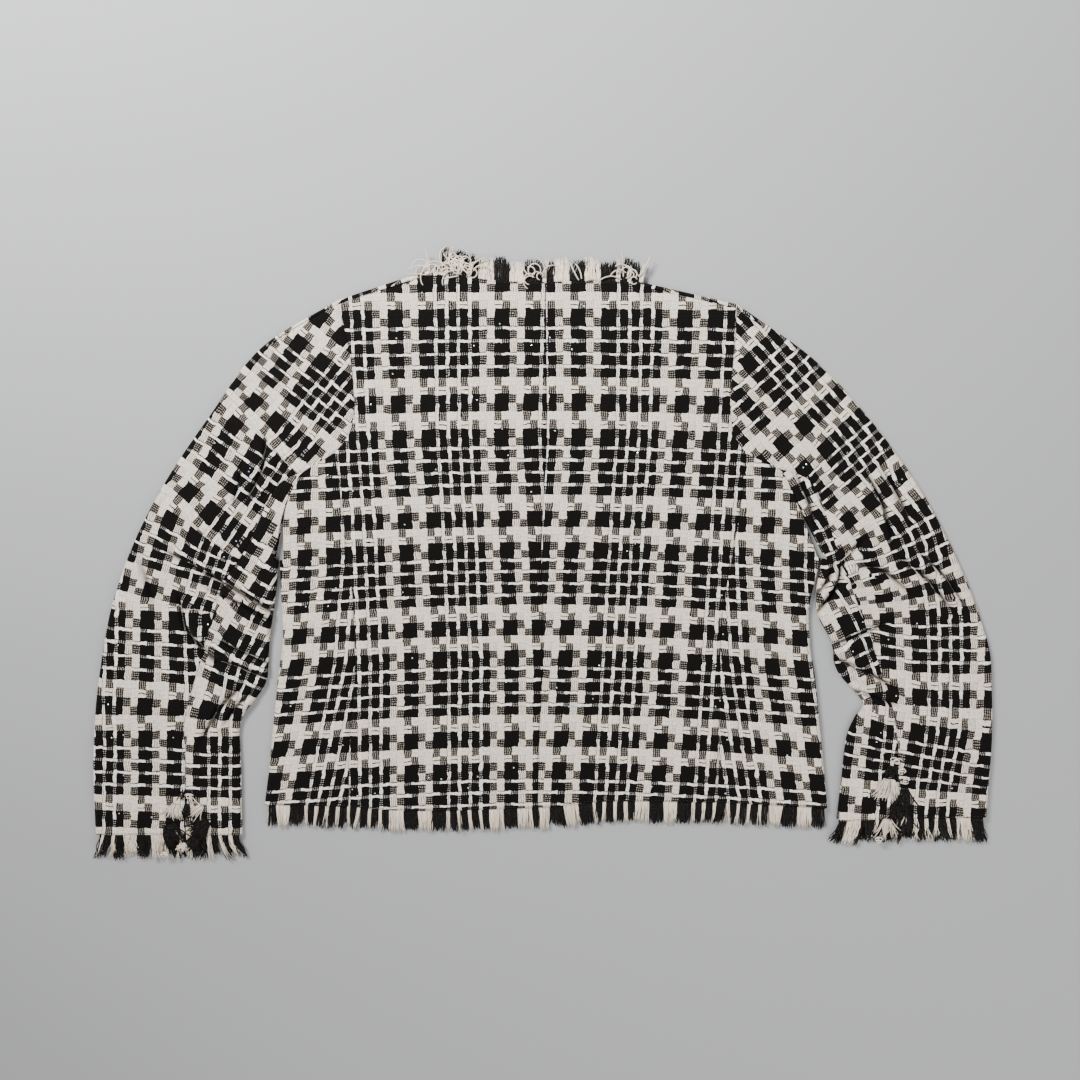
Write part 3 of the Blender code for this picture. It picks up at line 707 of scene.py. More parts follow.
def sleeve_yarns(spots, side, piece, cloth):
    """Yarns of a sleeve's piece, counted across and along a line that bends as it was laid."""
    rows = SPINES[piece + "_" + side]
    line = through(rows)(np.linspace(0, len(rows) - 1, SPINE_STEPS))
    spread = np.arange(1, SPINE_BEYOND + 1)
    before = line[0] - np.outer(spread[::-1], line[1] - line[0])
    after = line[-1] + np.outer(spread, line[-1] - line[-2])
    line = np.vstack([before, line, after])
    ways = unit(np.gradient(line[:, 1:], axis=0))
    flat = drawn_in(spots.reshape(-1, 2), side)
    nearest = np.concatenate(
        [
            np.argmin(((part[:, None] - line[None, :, 1:]) ** 2).sum(-1), axis=1)
            for part in np.array_split(flat, max(1, len(flat) // PLACES_AT_ONCE))
        ]
    )
    away = flat - line[nearest, 1:]
    way = ways[nearest]
    down = line[nearest, 0] + (away * way).sum(-1) / cloth.weft_pitch
    across = away[:, 1] * way[:, 0] - away[:, 0] * way[:, 1]
    yarns = np.stack([SPINE_YARN[piece + "_" + side] + across / cloth.warp_pitch, down], axis=-1)
    return yarns.reshape(spots.shape)


# ---- Building meshes ----


def part_metres(places):
    """Table millimetres to the part's own metres."""
    out = np.array(places, float)
    out[..., :2] -= ORIGIN
    return out * MM


def deselect():
    """Leaves edit mode and selects nothing."""
    if bpy.context.object and bpy.context.object.mode != "OBJECT":
        bpy.ops.object.mode_set(mode="OBJECT")
    bpy.ops.object.select_all(action="DESELECT")


def make_cloth(half, name, places, yarns, missing, material):
    """A wall of cloth on a grid of places. MISSING marks the grid's faces to leave out."""
    deselect()
    rows, columns = places.shape[0] - 1, places.shape[1] - 1
    bpy.ops.mesh.primitive_grid_add(x_subdivisions=columns, y_subdivisions=rows, size=1)
    piece = bpy.context.object
    piece.name = piece.data.name = name
    mesh = piece.data
    spots = np.empty(len(mesh.vertices) * 3)
    mesh.vertices.foreach_get("co", spots)
    spots = spots.reshape(-1, 3)
    column = np.rint((spots[:, 0] + 0.5) * columns).astype(int)
    row = np.rint((spots[:, 1] + 0.5) * rows).astype(int)
    mesh.vertices.foreach_set("co", part_metres(places[row, column]).ravel())
    corner = np.empty(len(mesh.loops), dtype=int)
    mesh.loops.foreach_get("vertex_index", corner)
    weave = mesh.uv_layers[0]
    weave.name = "weave"
    pitch = np.array([half.cloth.warp_pitch, half.cloth.weft_pitch])
    weave.uv.foreach_set("vector", (yarns[row, column] * pitch)[corner].ravel())
    where = half.side if "sleeve" in name else "body"
    # Painted shade for the grooves: their share of full depth, on the upper layer only, darkens the
    # tweed's colour.
    on_top = places[..., 2] > half.low + half.cloth.roll
    deep = np.clip(creases(places[..., :2], where, -1) / DEEPEST * on_top, 0, 1)
    hollow = mesh.attributes.new("hollow", "FLOAT", "POINT")
    hollow.data.foreach_set("value", deep[row, column])
    drop_faces(mesh, missing, row, column)
    wall = piece.modifiers.new("wall", "SOLIDIFY")
    wall.thickness = half.cloth.wall * MM
    wall.offset = 0
    bpy.ops.object.modifier_apply(modifier="wall")
    face_outwards()
    bpy.ops.object.shade_smooth()
    piece.data.materials.append(material)
    declare_cut(places, missing)
    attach(piece, "root")
    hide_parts(name.removeprefix("cloth_"))


def drop_faces(mesh, missing, row, column):
    """Deletes the faces of the grid that MISSING marks by row and column."""
    if missing is None:
        return
    corners = np.empty(len(mesh.polygons) * 4, dtype=int)
    mesh.polygons.foreach_get("vertices", corners)
    corners = corners.reshape(-1, 4)
    chosen = missing[row[corners].min(axis=1), column[corners].min(axis=1)]
    bpy.ops.object.mode_set(mode="EDIT")
    bpy.ops.mesh.select_all(action="DESELECT")
    bpy.ops.object.mode_set(mode="OBJECT")
    mesh.polygons.foreach_set("select", chosen)
    bpy.ops.object.mode_set(mode="EDIT")
    bpy.ops.mesh.delete(type="FACE")
    bpy.ops.object.mode_set(mode="OBJECT")


def face_outwards():
    """Turns the faces of the active piece outwards."""
    bpy.ops.object.mode_set(mode="EDIT")
    bpy.ops.mesh.select_all(action="SELECT")
    bpy.ops.mesh.normals_make_consistent(inside=False)
    bpy.ops.object.mode_set(mode="OBJECT")


def declare_cut(places, missing):
    """Works out which faces of the grid are kept, and gives the result to nothing."""
    kept = np.ones((places.shape[0] - 1, places.shape[1] - 1), bool)
    if missing is not None:
        kept &= ~missing


def thinned(count, keep):
    """Every KEEPth column of the hidden lower layer, and its last one."""
    return np.unique(np.append(np.arange(0, count, keep), count - 1))


def rolled_yarns(half, edge, turns, way):
    """The yarns of a rolled edge: those of the EDGE run on round it, WAY 1 or -1."""
    yarns = np.repeat(edge[:, None], len(turns), axis=1)
    yarns[..., 0] += way * half.cloth.roll * turns / half.cloth.warp_pitch
    return yarns


def turned_under(yarns, edge, turned):
    """The yarns of a layer folded under along an edge, TURNED yarns past it."""
    order = np.argsort(edge[:, 1])
    at_edge = np.interp(yarns[..., 1], edge[order, 1], edge[order, 0])
    return np.stack([2 * at_edge - yarns[..., 0] + turned, yarns[..., 1]], axis=-1)


def make_back_centre(half, material):
    """A centre back panel, from the centre seam to the princess seam and up to the shoulder."""
    top = half.marks[PRINCESS_ROW]
    side_rows = half.facets(PRINCESS_LENGTH)
    princess = half.seam_side(half.seam(side_rows), -half.sign)
    hole = half.body_armhole()[: top + 1][::-1]
    outer = np.vstack([princess, hole[1:]])
    outer[side_rows] = (princess[-1] + hole[0]) / 2
    outer[-1] -= half.shoulder_out * half.gap
    centre_rows = [(row.centre_x, row.centre_y) for row in BACK_SEAMS] + CENTRE_TOP
    middle = even(through(centre_rows), 0, len(centre_rows) - 1, len(outer) - 1)
    middle = middle + half.centre_gap
    corner = half.neck_point - half.shoulder_out * (half.reach + half.gap)
    shoulder_columns, neck_columns = half.facets(SHOULDER_LENGTH), half.facets(NECK_LENGTH)
    shoulder = np.linspace(outer[-1], corner, shoulder_columns + 1)
    neck = even(through(half.neck_rows), 0, len(half.neck_rows) - 1, neck_columns)
    neck[-1] = middle[-1]
    hem = hem_between(outer[0], middle[0], shoulder_columns + neck_columns)
    grid = patch(hem, np.vstack([shoulder, neck[1:]]), outer, middle)
    places = half.upper(grid, "body", dips=("left", "right"))
    yarns = body_yarns(grid, half.side, "back")
    make_cloth(half, "cloth_back_centre_" + half.side, places, yarns, None, material)


def make_side(half, material):
    """A side panel, with the rolled edge that takes it round to the front."""
    top = half.marks[PRINCESS_ROW]
    hole = half.body_armhole()[top:][::-1]
    edge = np.vstack([half.side_axis, hole[1:-1]])
    rows, side_rows = len(edge) - 1, len(half.side_axis) - 1
    seam = half.seam_side(half.seam(rows), half.sign)
    columns = half.facets(SIDE_PANEL_WIDTH)
    top_edge = np.linspace(edge[-1], hole[-1], columns + 1)
    seam[-1] = top_edge[-1]
    grid = patch(hem_between(edge[0], seam[0], columns), top_edge, edge, seam)
    flat = half.upper(grid, "body", dips=("right",))
    turns = np.linspace(math.pi, 0, TURN_FACETS + 1)[:-1]
    at = np.minimum(np.arange(rows + 1), side_rows)
    roll = half.rolled(half.side_axis, half.side_out, "body", turns)[at]
    yarns = body_yarns(grid, half.side, "side")
    round_yarns = rolled_yarns(half, yarns[:, 0], turns, half.sign)
    missing = np.zeros((rows, columns + TURN_FACETS), bool)
    missing[side_rows:, :TURN_FACETS] = True
    places = np.concatenate([roll, flat], axis=1)
    yarns = np.concatenate([round_yarns, yarns], axis=1)
    make_cloth(half, "cloth_side_" + half.side, places, yarns, missing, material)


def front_neck(half, turns, end_x):
    """The front's neck edge, at TURNS of its quarter round from the shoulder to the centre."""
    corner = half.neck_point - half.shoulder_out * half.reach
    across = (end_x - corner[0]) * (1 - np.cos(turns))
    return corner + np.column_stack([across, -NECK_DROP * np.sin(turns)])


def make_front(half, material):
    """A front, under the back, with the edge that rolls over the shoulder."""
    side_seam = half.side_axis - half.side_out * half.gap
    edge = np.vstack([side_seam, half.body_armhole()[::-1][1:]])
    corner = half.neck_point - half.shoulder_out * half.reach
    shoulder_columns, neck_columns = half.facets(SHOULDER_LENGTH), half.facets(NECK_LENGTH)
    shoulder = np.linspace(edge[-1], corner, shoulder_columns + 1)
    hem_end = np.array([HEM[3].x, HEM[3].y]) + half.centre_gap
    centre_top = np.array([CENTRE_TOP[-1].x, corner[1] - NECK_DROP]) + half.centre_gap
    neck = front_neck(half, np.linspace(0, math.pi / 2, neck_columns + 1)[1:], centre_top[0])
    centre = np.linspace(hem_end, centre_top, len(edge))
    columns = shoulder_columns + neck_columns
    grid = patch(hem_between(edge[0], hem_end, columns), np.vstack([shoulder, neck]), edge, centre)
    out = np.repeat(half.shoulder_out[None], shoulder_columns + 1, axis=0)
    turns = np.linspace(math.pi, 0, TURN_FACETS + 1)[1:]
    roll = half.rolled(shoulder, out, "body", turns).transpose(1, 0, 2)
    spare = np.repeat(half.lower(neck)[None], TURN_FACETS, axis=0)
    places = np.concatenate([half.lower(grid), np.concatenate([roll, spare], axis=1)])
    yarns = body_yarns(grid, half.side, "back")
    over = np.repeat(yarns[-1:], TURN_FACETS, axis=0)
    over[..., 1] -= (half.cloth.roll * (math.pi - turns) / half.cloth.weft_pitch)[:, None]
    missing = np.zeros((len(places) - 1, columns), bool)
    missing[len(grid) - 1 :, shoulder_columns:] = True
    yarns = np.concatenate([yarns, over])
    make_cloth(half, "cloth_front_" + half.side, places, yarns, missing, material)


def make_sleeve(half, material):
    """The two pieces of a sleeve: the upper one round the outer fold, the under one inside."""
    start, tip = half.marks[SLEEVE_SEAM_ROW], half.marks[TIP_ROW]
    hole = half.sleeve_armhole()
    where = half.side
    turns = np.linspace(0, math.pi, TURN_FACETS + 1)[1:-1]
    turned = half.sign * math.pi * half.cloth.roll / half.cloth.warp_pitch

    seam = half.seam_side(half.back_seam, -half.sign)
    first = hole[: start + 1].copy()
    first[-1] += unit(first[-2] - first[-1]) * half.gap / 2
    outer = half.outer_axis.copy()
    outer[0], seam[0] = first[0], first[-1]
    cuff = np.linspace(outer[-1], seam[-1], start + 1)
    grid = patch(first, cuff, outer, seam, reach=0.25)
    below = thinned(start + 1, 5)
    roll = half.rolled(outer, half.outer_out, where, turns)
    flat = half.upper(grid, where, dips=("first", "right"))
    places = np.concatenate([flat[:, ::-1], roll, half.lower(grid)[:, below]], axis=1)
    yarns = sleeve_yarns(grid, half.side, "upper", half.cloth)
    round_yarns = rolled_yarns(half, yarns[:, 0], turns, half.sign)
    back = turned_under(yarns[:, below], yarns[:, 0], turned)
    yarns = np.concatenate([yarns[:, ::-1], round_yarns, back], axis=1)
    make_cloth(half, "cloth_sleeve_upper_" + half.side, places, yarns, None, material)

    seam = half.seam_side(half.back_seam, half.sign)
    seam[0] = hole[start] + unit(hole[start + 1] - hole[start]) * half.gap / 2
    corner = half.corner_row
    side_edge = even(through(hole[tip:]), 0, len(hole) - 1 - tip, corner)
    edge = np.vstack([side_edge[:-1], half.inner_axis])
    columns = half.facets(UNDER_SLEEVE_WIDTH)
    top = np.linspace(seam[0], edge[0], columns + 1)
    cuff = np.linspace(seam[-1], edge[-1], columns + 1)
    grid = patch(top, cuff, seam, edge)
    at = np.maximum(np.arange(len(edge)) - corner, 0)
    roll = half.rolled(half.inner_axis, half.inner_out, where, turns)[at]
    below = thinned(columns + 1, 4)
    flat = half.upper(grid, where, dips=("first", "left"))
    places = np.concatenate([flat, roll, half.lower(grid)[:, ::-1][:, below]], axis=1)
    yarns = sleeve_yarns(grid, half.side, "under", half.cloth)
    round_yarns = rolled_yarns(half, yarns[:, -1], turns, -half.sign)
    back = turned_under(yarns[:, ::-1][:, below], yarns[corner:, -1], -turned)
    missing = np.zeros((len(edge) - 1, places.shape[1] - 1), bool)
    missing[:corner, columns : columns + TURN_FACETS] = True
    yarns = np.concatenate([yarns, round_yarns, back], axis=1)
    make_cloth(half, "cloth_sleeve_under_" + half.side, places, yarns, missing, material)


# ---- Materials ----


def add_node(tree, kind, inputs=(), **settings):
    """A node with its settings. INPUTS gives each input a value, a node or a (node, output)."""
    node = tree.nodes.new(kind)
    for name, value in settings.items():
        setattr(node, name, value)
    for key, value in inputs.items() if isinstance(inputs, dict) else enumerate(inputs):
        source = value if isinstance(value, tuple) else (value, 0)
        if isinstance(source[0], bpy.types.Node):
            tree.links.new(source[0].outputs[source[1]], node.inputs[key])
        elif value is not None:
            node.inputs[key].default_value = value
    return node


def new_material(name):
    """A material, its node tree and its shader."""
    material = bpy.data.materials.new(name)
    material.use_nodes = True
    tree = material.node_tree
    return material, tree, tree.nodes["Principled BSDF"]


def give(shader, numbers):
    """Sets the shader's numbers that are the same all over."""
    for name, number in numbers.items():
        shader.inputs[name].default_value = number


def fill_stops(ramp, stops, interpolation="LINEAR"):
    """Gives a colour ramp its stops, as places and colours."""
    ramp.color_ramp.interpolation = interpolation
    elements = ramp.color_ramp.elements
    elements.remove(elements[1])
    elements[0].color = stops[0][1]
    for place, colour in stops[1:]:
        elements.new(place).color = colour
    return ramp


MATH, MIX, RANGE = "ShaderNodeMath", "ShaderNodeMix", "ShaderNodeMapRange"
RAMP, NOISE, VECTOR = "ShaderNodeValToRGB", "ShaderNodeTexNoise", "ShaderNodeVectorMath"
COLOUR_A, COLOUR_B, COLOUR_OUT = 6, 7, 2  # sockets of a Mix node of colours
PALE = 0.25  # the level of the check above which a yarn is pale
CHECK = [("black", 8)] + [("thin", 2), ("black", 4)] * 4 + [("white", 8), ("black", 8), ("white", 8)]
CHECK_LEVEL = {"black": 0.0, "thin": 0.5, "white": 1.0}
WARP_SQUEEZE, WEFT_SQUEEZE = 0.30, 0.72  # how much of its place a thin pair gives up, in yarns
IN_SHADE = 0.5  # how bright a yarn is that lies under others
FLOATS = [4, 4, 6, 6, 6, 6, 4, 4, 4, 4, 4, 4]  # yarns that go over and under together


def check_counts(squeeze):
    """The width of each band of the check, in yarns, once its thin pairs are squeezed."""
    kinds = [kind for kind, _ in CHECK]
    counts = []
    for index, (kind, count) in enumerate(CHECK):
        beside = [kinds[index - 1], kinds[(index + 1) % len(kinds)]].count("thin")
        counts.append(count - squeeze if kind == "thin" else count + squeeze / 2 * beside)
    counts[-4] -= sum(counts) - WARP_REPEAT
    return counts


def steps_ramp(tree, yarn, counts, levels):
    """Levels that change in steps as the yarns of a repeat go by."""
    repeats = add_node(tree, MATH, [yarn, WARP_REPEAT], operation="DIVIDE")
    share = add_node(tree, MATH, [repeats], operation="FRACT")
    starts = np.cumsum([0, *counts[:-1]]) / WARP_REPEAT
    stops = [(start, (level, level, level, 1)) for start, level in zip(starts, levels)]
    return fill_stops(add_node(tree, RAMP, [share]), stops, "CONSTANT")


def round_of(tree, yarn, count):
    """The height across a bundle of COUNT yarns: 0 at its edges and 1 at its middle."""
    turn = add_node(tree, MATH, [yarn, math.pi / count], operation="MULTIPLY")
    height = add_node(tree, MATH, [turn], operation="SINE")
    return add_node(tree, MATH, [height], operation="ABSOLUTE")


def yarn_places(tree, cloth):
    """The lengthwise and crosswise yarn at a place of the weave, wandering off straight."""
    uv = add_node(tree, "ShaderNodeUVMap", uv_map="weave")
    # Yarns wander about 1 mm off straight, over 6 mm or so.
    wander = add_node(tree, NOISE, {"Vector": uv, "Scale": 0.16, "Detail": 2.0})
    moved = add_node(
        tree, VECTOR, [(wander, "Color"), (3.2, 3.2, 0), (-1.6, -1.6, 0)], operation="MULTIPLY_ADD"
    )
    place = add_node(tree, VECTOR, [uv, moved], operation="ADD")
    split = add_node(tree, "ShaderNodeSeparateXYZ", [place])
    warp = add_node(tree, MATH, [(split, 0), cloth.warp_pitch], operation="DIVIDE")
    weft = add_node(tree, MATH, [(split, 1), cloth.weft_pitch], operation="DIVIDE")
    return uv, warp, weft


def yarn_gaps(tree, warp, weft, over, loose):
    """Where the yarns below show through black ones, and through pale ones."""
    round_warp, round_weft = round_of(tree, warp, 1), round_of(tree, weft, 1)
    # Black yarns lie apart, so pale ones show between them; pale yarns all but fill their place.
    between = [
        add_node(
            tree,
            MATH,
            [add_node(tree, RANGE, [round_warp, *crosswise]), add_node(tree, RANGE, [round_weft, *down])],
            operation="MULTIPLY",
        )
        for crosswise, down in (((0.5, 0.9), (0.8, 0.4)), ((0.75, 0.35), (0.2, 0.6)))
    ]
    peeks = add_node(tree, MIX, [over, None, *between])
    pair = add_node(tree, MIX, [over, None, round_of(tree, weft, 2), round_warp])
    widest = add_node(tree, MATH, [loose, 0.34, 0.05], operation="MULTIPLY_ADD")
    return peeks, add_node(tree, MATH, [pair, widest], operation="LESS_THAN")


def fancy_tweed(colours, cloth):
    """Tweed of looped wool in floats of four to six yarns: soft and matt, with thin bright pairs."""
    material, tree, shader = new_material("fancy_tweed")
    uv, warp, weft = yarn_places(tree, cloth)
    levels = [CHECK_LEVEL[kind] for kind, _ in CHECK]
    warp_kind = steps_ramp(tree, warp, check_counts(WARP_SQUEEZE), levels)
    weft_kind = steps_ramp(tree, weft, check_counts(WEFT_SQUEEZE), levels)
    turns = [index % 2 for index in range(len(FLOATS))]
    warp_turn, weft_turn = (steps_ramp(tree, yarn, FLOATS, turns) for yarn in (warp, weft))
    odd = add_node(tree, MATH, [warp_turn, weft_turn, 0.5], operation="COMPARE")
    odd = add_node(tree, MATH, [1.0, odd], operation="SUBTRACT")
    # Where a pale yarn crosses a black one, the pale one is on top at every second crossing.
    pale_weft = add_node(tree, MATH, [weft_kind, PALE], operation="GREATER_THAN")
    dark_warp = add_node(tree, MATH, [warp_kind, PALE], operation="LESS_THAN")
    only_weft = add_node(tree, MATH, [pale_weft, dark_warp], operation="MULTIPLY")
    over = add_node(tree, MATH, [odd, only_weft, 0.5], operation="COMPARE")
    over = add_node(tree, MATH, [1.0, over], operation="SUBTRACT")
    shown = add_node(tree, MIX, [over, None, weft_kind, warp_kind])
    under = add_node(tree, MIX, [over, None, warp_kind, weft_kind])
    other_warp = add_node(tree, MATH, [1.0, warp_turn], operation="SUBTRACT")
    loose = add_node(tree, MATH, [weft_turn, other_warp], operation="MULTIPLY")
    peeks, parting = yarn_gaps(tree, warp, weft, over, loose)
    pale = add_node(tree, MATH, [shown, PALE], operation="GREATER_THAN")
    gap = add_node(tree, MIX, [pale, None, peeks, parting])
    kinds = [
        (0.0, linear(colours.black)), (PALE, linear(colours.lurex)), (0.75, linear(colours.white)),
    ]
    upper, lower = (
        fill_stops(add_node(tree, RAMP, [level]), kinds, "CONSTANT") for level in (shown, under)
    )
    # The yarns below are drawn darker, in painted shade.
    deep = add_node(tree, VECTOR, {0: lower, "Scale": IN_SHADE}, operation="SCALE")
    yarns = add_node(
        tree, MIX, {"Factor": gap, COLOUR_A: upper, COLOUR_B: deep}, data_type="RGBA"
    )
    # Wool takes the dye unevenly over 2 mm or so. A float gets painted shade where it dives under,
    # and the bottom of a crease gets painted shade, as less light reaches it there.
    uneven = add_node(tree, NOISE, {"Vector": uv, "Scale": 0.45, "Detail": 5.0, "Roughness": 0.7})
    tone = add_node(tree, RANGE, [uneven, 0.3, 0.7, 0.66, 1.16])
    swell = add_node(tree, MIX, [over, None, round_of(tree, warp, 4), round_of(tree, weft, 4)])
    float_end_shade = add_node(tree, RANGE, [swell, 0.0, 0.4, 0.78, 1.0])
    hollow = add_node(tree, "ShaderNodeAttribute", attribute_name="hollow")
    shaded = add_node(tree, RANGE, [(hollow, "Fac"), 0.08, 0.8, 1.0, 0.14])
    shade = add_node(tree, MATH, [tone, float_end_shade], operation="MULTIPLY")
    shade = add_node(tree, MATH, [shade, shaded], operation="MULTIPLY")
    dyed = add_node(tree, VECTOR, {0: (yarns, COLOUR_OUT), "Scale": shade}, operation="SCALE")
    tree.links.new(dyed.outputs[0], shader.inputs["Base Color"])
    yarn = add_node(tree, MIX, [over, None, round_of(tree, weft, 1), round_of(tree, warp, 1)])
    # The loops of the wool stand up in knots about 0.6 mm apart.
    fuzz = add_node(tree, NOISE, {"Vector": uv, "Scale": 1.6, "Detail": 4.0})
    arch = add_node(tree, MATH, [swell, 0.7, 0.3], operation="MULTIPLY_ADD")
    float_height = add_node(tree, MATH, [yarn, arch], operation="MULTIPLY")
    height = add_node(tree, MATH, [(fuzz, 0), 0.5, float_height], operation="MULTIPLY_ADD")
    bump = add_node(tree, "ShaderNodeBump", {"Strength": 0.7, "Distance": 0.0006, "Height": height})
    tree.links.new(bump.outputs[0], shader.inputs["Normal"])
    give(shader, {"Roughness": 0.9, "Sheen Weight": 0.02, "Sheen Roughness": 0.5})
    give(shader, {"Specular IOR Level": 0.08})
    return material


def frayed_yarn(colours):
    """Loose plies of the same wool: matt and fibrous, pale or black by the "pale" attribute."""
    material, tree, shader = new_material("frayed_yarn")
    kind = add_node(tree, "ShaderNodeAttribute", attribute_name="pale")
    place = add_node(tree, "ShaderNodeTexCoord")
    # Fibres are too fine to show, so they are drawn in streaks about 1 mm apart.
    fibre = add_node(tree, NOISE, {"Vector": (place, "Object"), "Scale": 900.0})
    low = add_node(tree, MATH, [(kind, "Fac"), 0.08], operation="SUBTRACT")
    shade = add_node(tree, MATH, [(fibre, 0), 0.16, low], operation="MULTIPLY_ADD")
    stops = [(0.0, linear(colours.black)), (1.0, linear(colours.white))]
    ramp = fill_stops(add_node(tree, RAMP, [shade]), stops)
    tree.links.new(ramp.outputs[0], shader.inputs["Base Color"])
    give(shader, {"Roughness": 0.9, "Sheen Weight": 0.03, "Specular IOR Level": 0.08})
    return material


def sewing_thread(colours):
    """Black polyester thread: a little smoother than the wool."""
    material, tree, shader = new_material("sewing_thread")
    place = add_node(tree, "ShaderNodeTexCoord")
    # The thread's twist shows as a band every 0.45 mm.
    twist = add_node(
        tree, "ShaderNodeTexWave", {"Vector": (place, "Object"), "Scale": 700.0, "Distortion": 1.0}
    )
    stops = [(0.0, linear(colours.black)), (1.0, linear(colours.thread))]
    ramp = fill_stops(add_node(tree, RAMP, [(twist, "Fac")]), stops)
    tree.links.new(ramp.outputs[0], shader.inputs["Base Color"])
    give(shader, {"Roughness": 0.55})
    return material


def sequin_film():
    """Iridescent plastic film with a metal flash: thin and bright, each sequin in its own tint."""
    material, tree, shader = new_material("sequin_film")
    tint = add_node(tree, "ShaderNodeAttribute", attribute_name="tint")
    tree.links.new(tint.outputs["Color"], shader.inputs["Base Color"])
    give(shader, {"Metallic": 0.6, "Roughness": 0.22, "Coat Weight": 0.6})
    return material


def floor_paper(colours):
    """Backdrop paper: plain, pale and matt."""
    material, _, shader = new_material("floor_paper")
    shader.inputs["Base Color"].default_value = linear(colours.floor)
    give(shader, {"Roughness": 0.9, "Specular IOR Level": 0.1})
    return material


# ---- Frayed edges ----

Frayed = namedtuple("Frayed", "plies lean curl narrow short spread long")
EVEN_EDGE = Frayed(plies=4, lean=1.3, curl=0.4, narrow=0.9, short=0.90, spread=2.0, long=1.0)
UNDER_EDGE = Frayed(plies=3, lean=1.3, curl=0.4, narrow=0.9, short=0.88, spread=2.0, long=0.95)
NECK_EDGE = Frayed(plies=5, lean=1.8, curl=1.2, narrow=1.1, short=0.78, spread=1.0, long=1.0)
CUFF_EDGE = Frayed(plies=4, lean=3.4, curl=1.6, narrow=0.95, short=0.78, spread=8.0, long=1.14)
TUFT_MOST = 6  # yarns in a tuft
TUFT_LONGEST, TUFT_GATHERED = 1.04, (0.8, 1.06)  # shares of its look's length and narrowness
PLY_LENGTHS = (0.86, 1.03)  # shares of the tuft's length
ROOT_IN = 1.6  # how far inside the edge a ply starts
YARN_WIDTH = 1.5  # over which the plies of a yarn spread
LOWEST_PLY = 0.75  # clear of the floor
# Heights of the plies' ends where they hang off the upper layer, and of those that lie below.
HEM_TIPS, NECK_TIPS, CUFF_TIPS, LYING = 3.6, 5.0, 3.2, (1.6, 1.3)
NECK_YARNS = 82  # along the neck of a front
# The thickness of a ply from its root to its tip, as shares of the ply's radius.
PLY_TAPER = np.array([1.0, 1.05, 1.1, 1.1, 1.05, 0.95, 0.6])
VENT_TAPER = np.array([1.1, 1.4, 1.5, 1.5, 1.5, 1.4, 1.3, 1.1, 0.8])
VENT_PLIES = 3  # in each millimetre of a tuft's width, and in a loop
VENT_LENGTHS, VENT_CLEAR = (0.72, 1.05), 0.5  # shares of a tuft's length, and millimetres
LOOP_TURN, LOOP_CLEAR = 5.2, 2.6  # radians round, and millimetres off the cloth
LOOP_SIZES, LOOP_FLATNESS = (0.35, 0.6), 0.6  # shares of its table's size, and of its width
CURL_STEPS, CURL_THICK = 15, 1.6  # places along a curl, and its thickness in plies
CURL_LENGTH, CURL_RISE = 12.0, 1.8  # millimetres
CURL_ASTRAY, CURL_BEND, CURL_LENGTHS = 50, 5.5, (0.9, 2.1)  # degrees, radians and shares
CURL_WAYS = (60, 80, 100, 120, 150)  # degrees
Curls = namedtuple("Curls", "across up count")
CURL_PLACES = [
    Curls((-98, -58), (233, 243), 44),
    Curls((-9, 5), (229, 235), 9),
    Curls((34, 42), (227, 231), 3),
    Curls((70, 90), (229, 236), 10),
]


def weave_is_pale(yarn):
    """1 for an off-white yarn of the repeat and 0 for a black one."""
    kinds = np.concatenate([[CHECK_LEVEL[kind]] * count for kind, count in CHECK])
    return (kinds[np.mod(np.floor(yarn).astype(int), WARP_REPEAT)] > PALE).astype(float)


def thread_mesh(name, paths, radii, pale, material, replaced=()):
    """Joined three-sided tubes along PATHS (threads, points, 3), thinned to RADII along each."""
    count, points = paths.shape[:2]
    ways = unit(np.gradient(paths, axis=1))
    side = unit(np.cross(ways, np.array([0.0, 0.0, 1.0]) + 1e-4))
    lift = np.cross(side, ways)
    rings = [
        paths + (side * math.cos(angle) + lift * math.sin(angle)) * radii[None, :, None]
        for angle in (math.pi / 2, math.pi * 7 / 6, math.pi * 11 / 6)
    ]
    verts = np.stack(rings, axis=2).reshape(-1, 3)
    base = (np.arange(count) * points * 3)[:, None, None]
    ring = (np.arange(points - 1) * 3)[None, :, None]
    corner = np.arange(3)[None, None, :]
    after = (corner + 1) % 3
    quads = np.stack(
        [base + ring + corner, base + ring + after, base + ring + 3 + after, base + ring + 3 + corner],
        axis=-1,
    ).reshape(-1, 4)
    starts = (np.arange(count) * points * 3)[:, None]
    caps = np.vstack([starts + [2, 1, 0], starts + (points - 1) * 3 + [0, 1, 2]])
    mesh = bpy.data.meshes.new(name)
    mesh.from_pydata(part_metres(verts).tolist(), [], quads.tolist() + caps.tolist())
    mesh.update()
    shade = mesh.attributes.new("pale", "FLOAT", "POINT")
    shade.data.foreach_set("value", np.repeat(pale, points * 3))
    piece = bpy.data.objects.new(name, mesh)
    bpy.context.scene.collection.objects.link(piece)
    mesh.materials.append(material)
    deselect()
    piece.select_set(True)
    bpy.context.view_layer.objects.active = piece
    face_outwards()
    bpy.ops.object.shade_smooth()
    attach(piece, "root")
    if replaced:
        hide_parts(*replaced)


def tufts(pale):
    """Runs of neighbouring yarns of one colour, TUFT_MOST at most, as (first, last + 1)."""
    first = 0
    for index in range(1, len(pale) + 1):
        if index == len(pale) or pale[index] != pale[first] or index - first == TUFT_MOST:
            yield first, index
            first = index


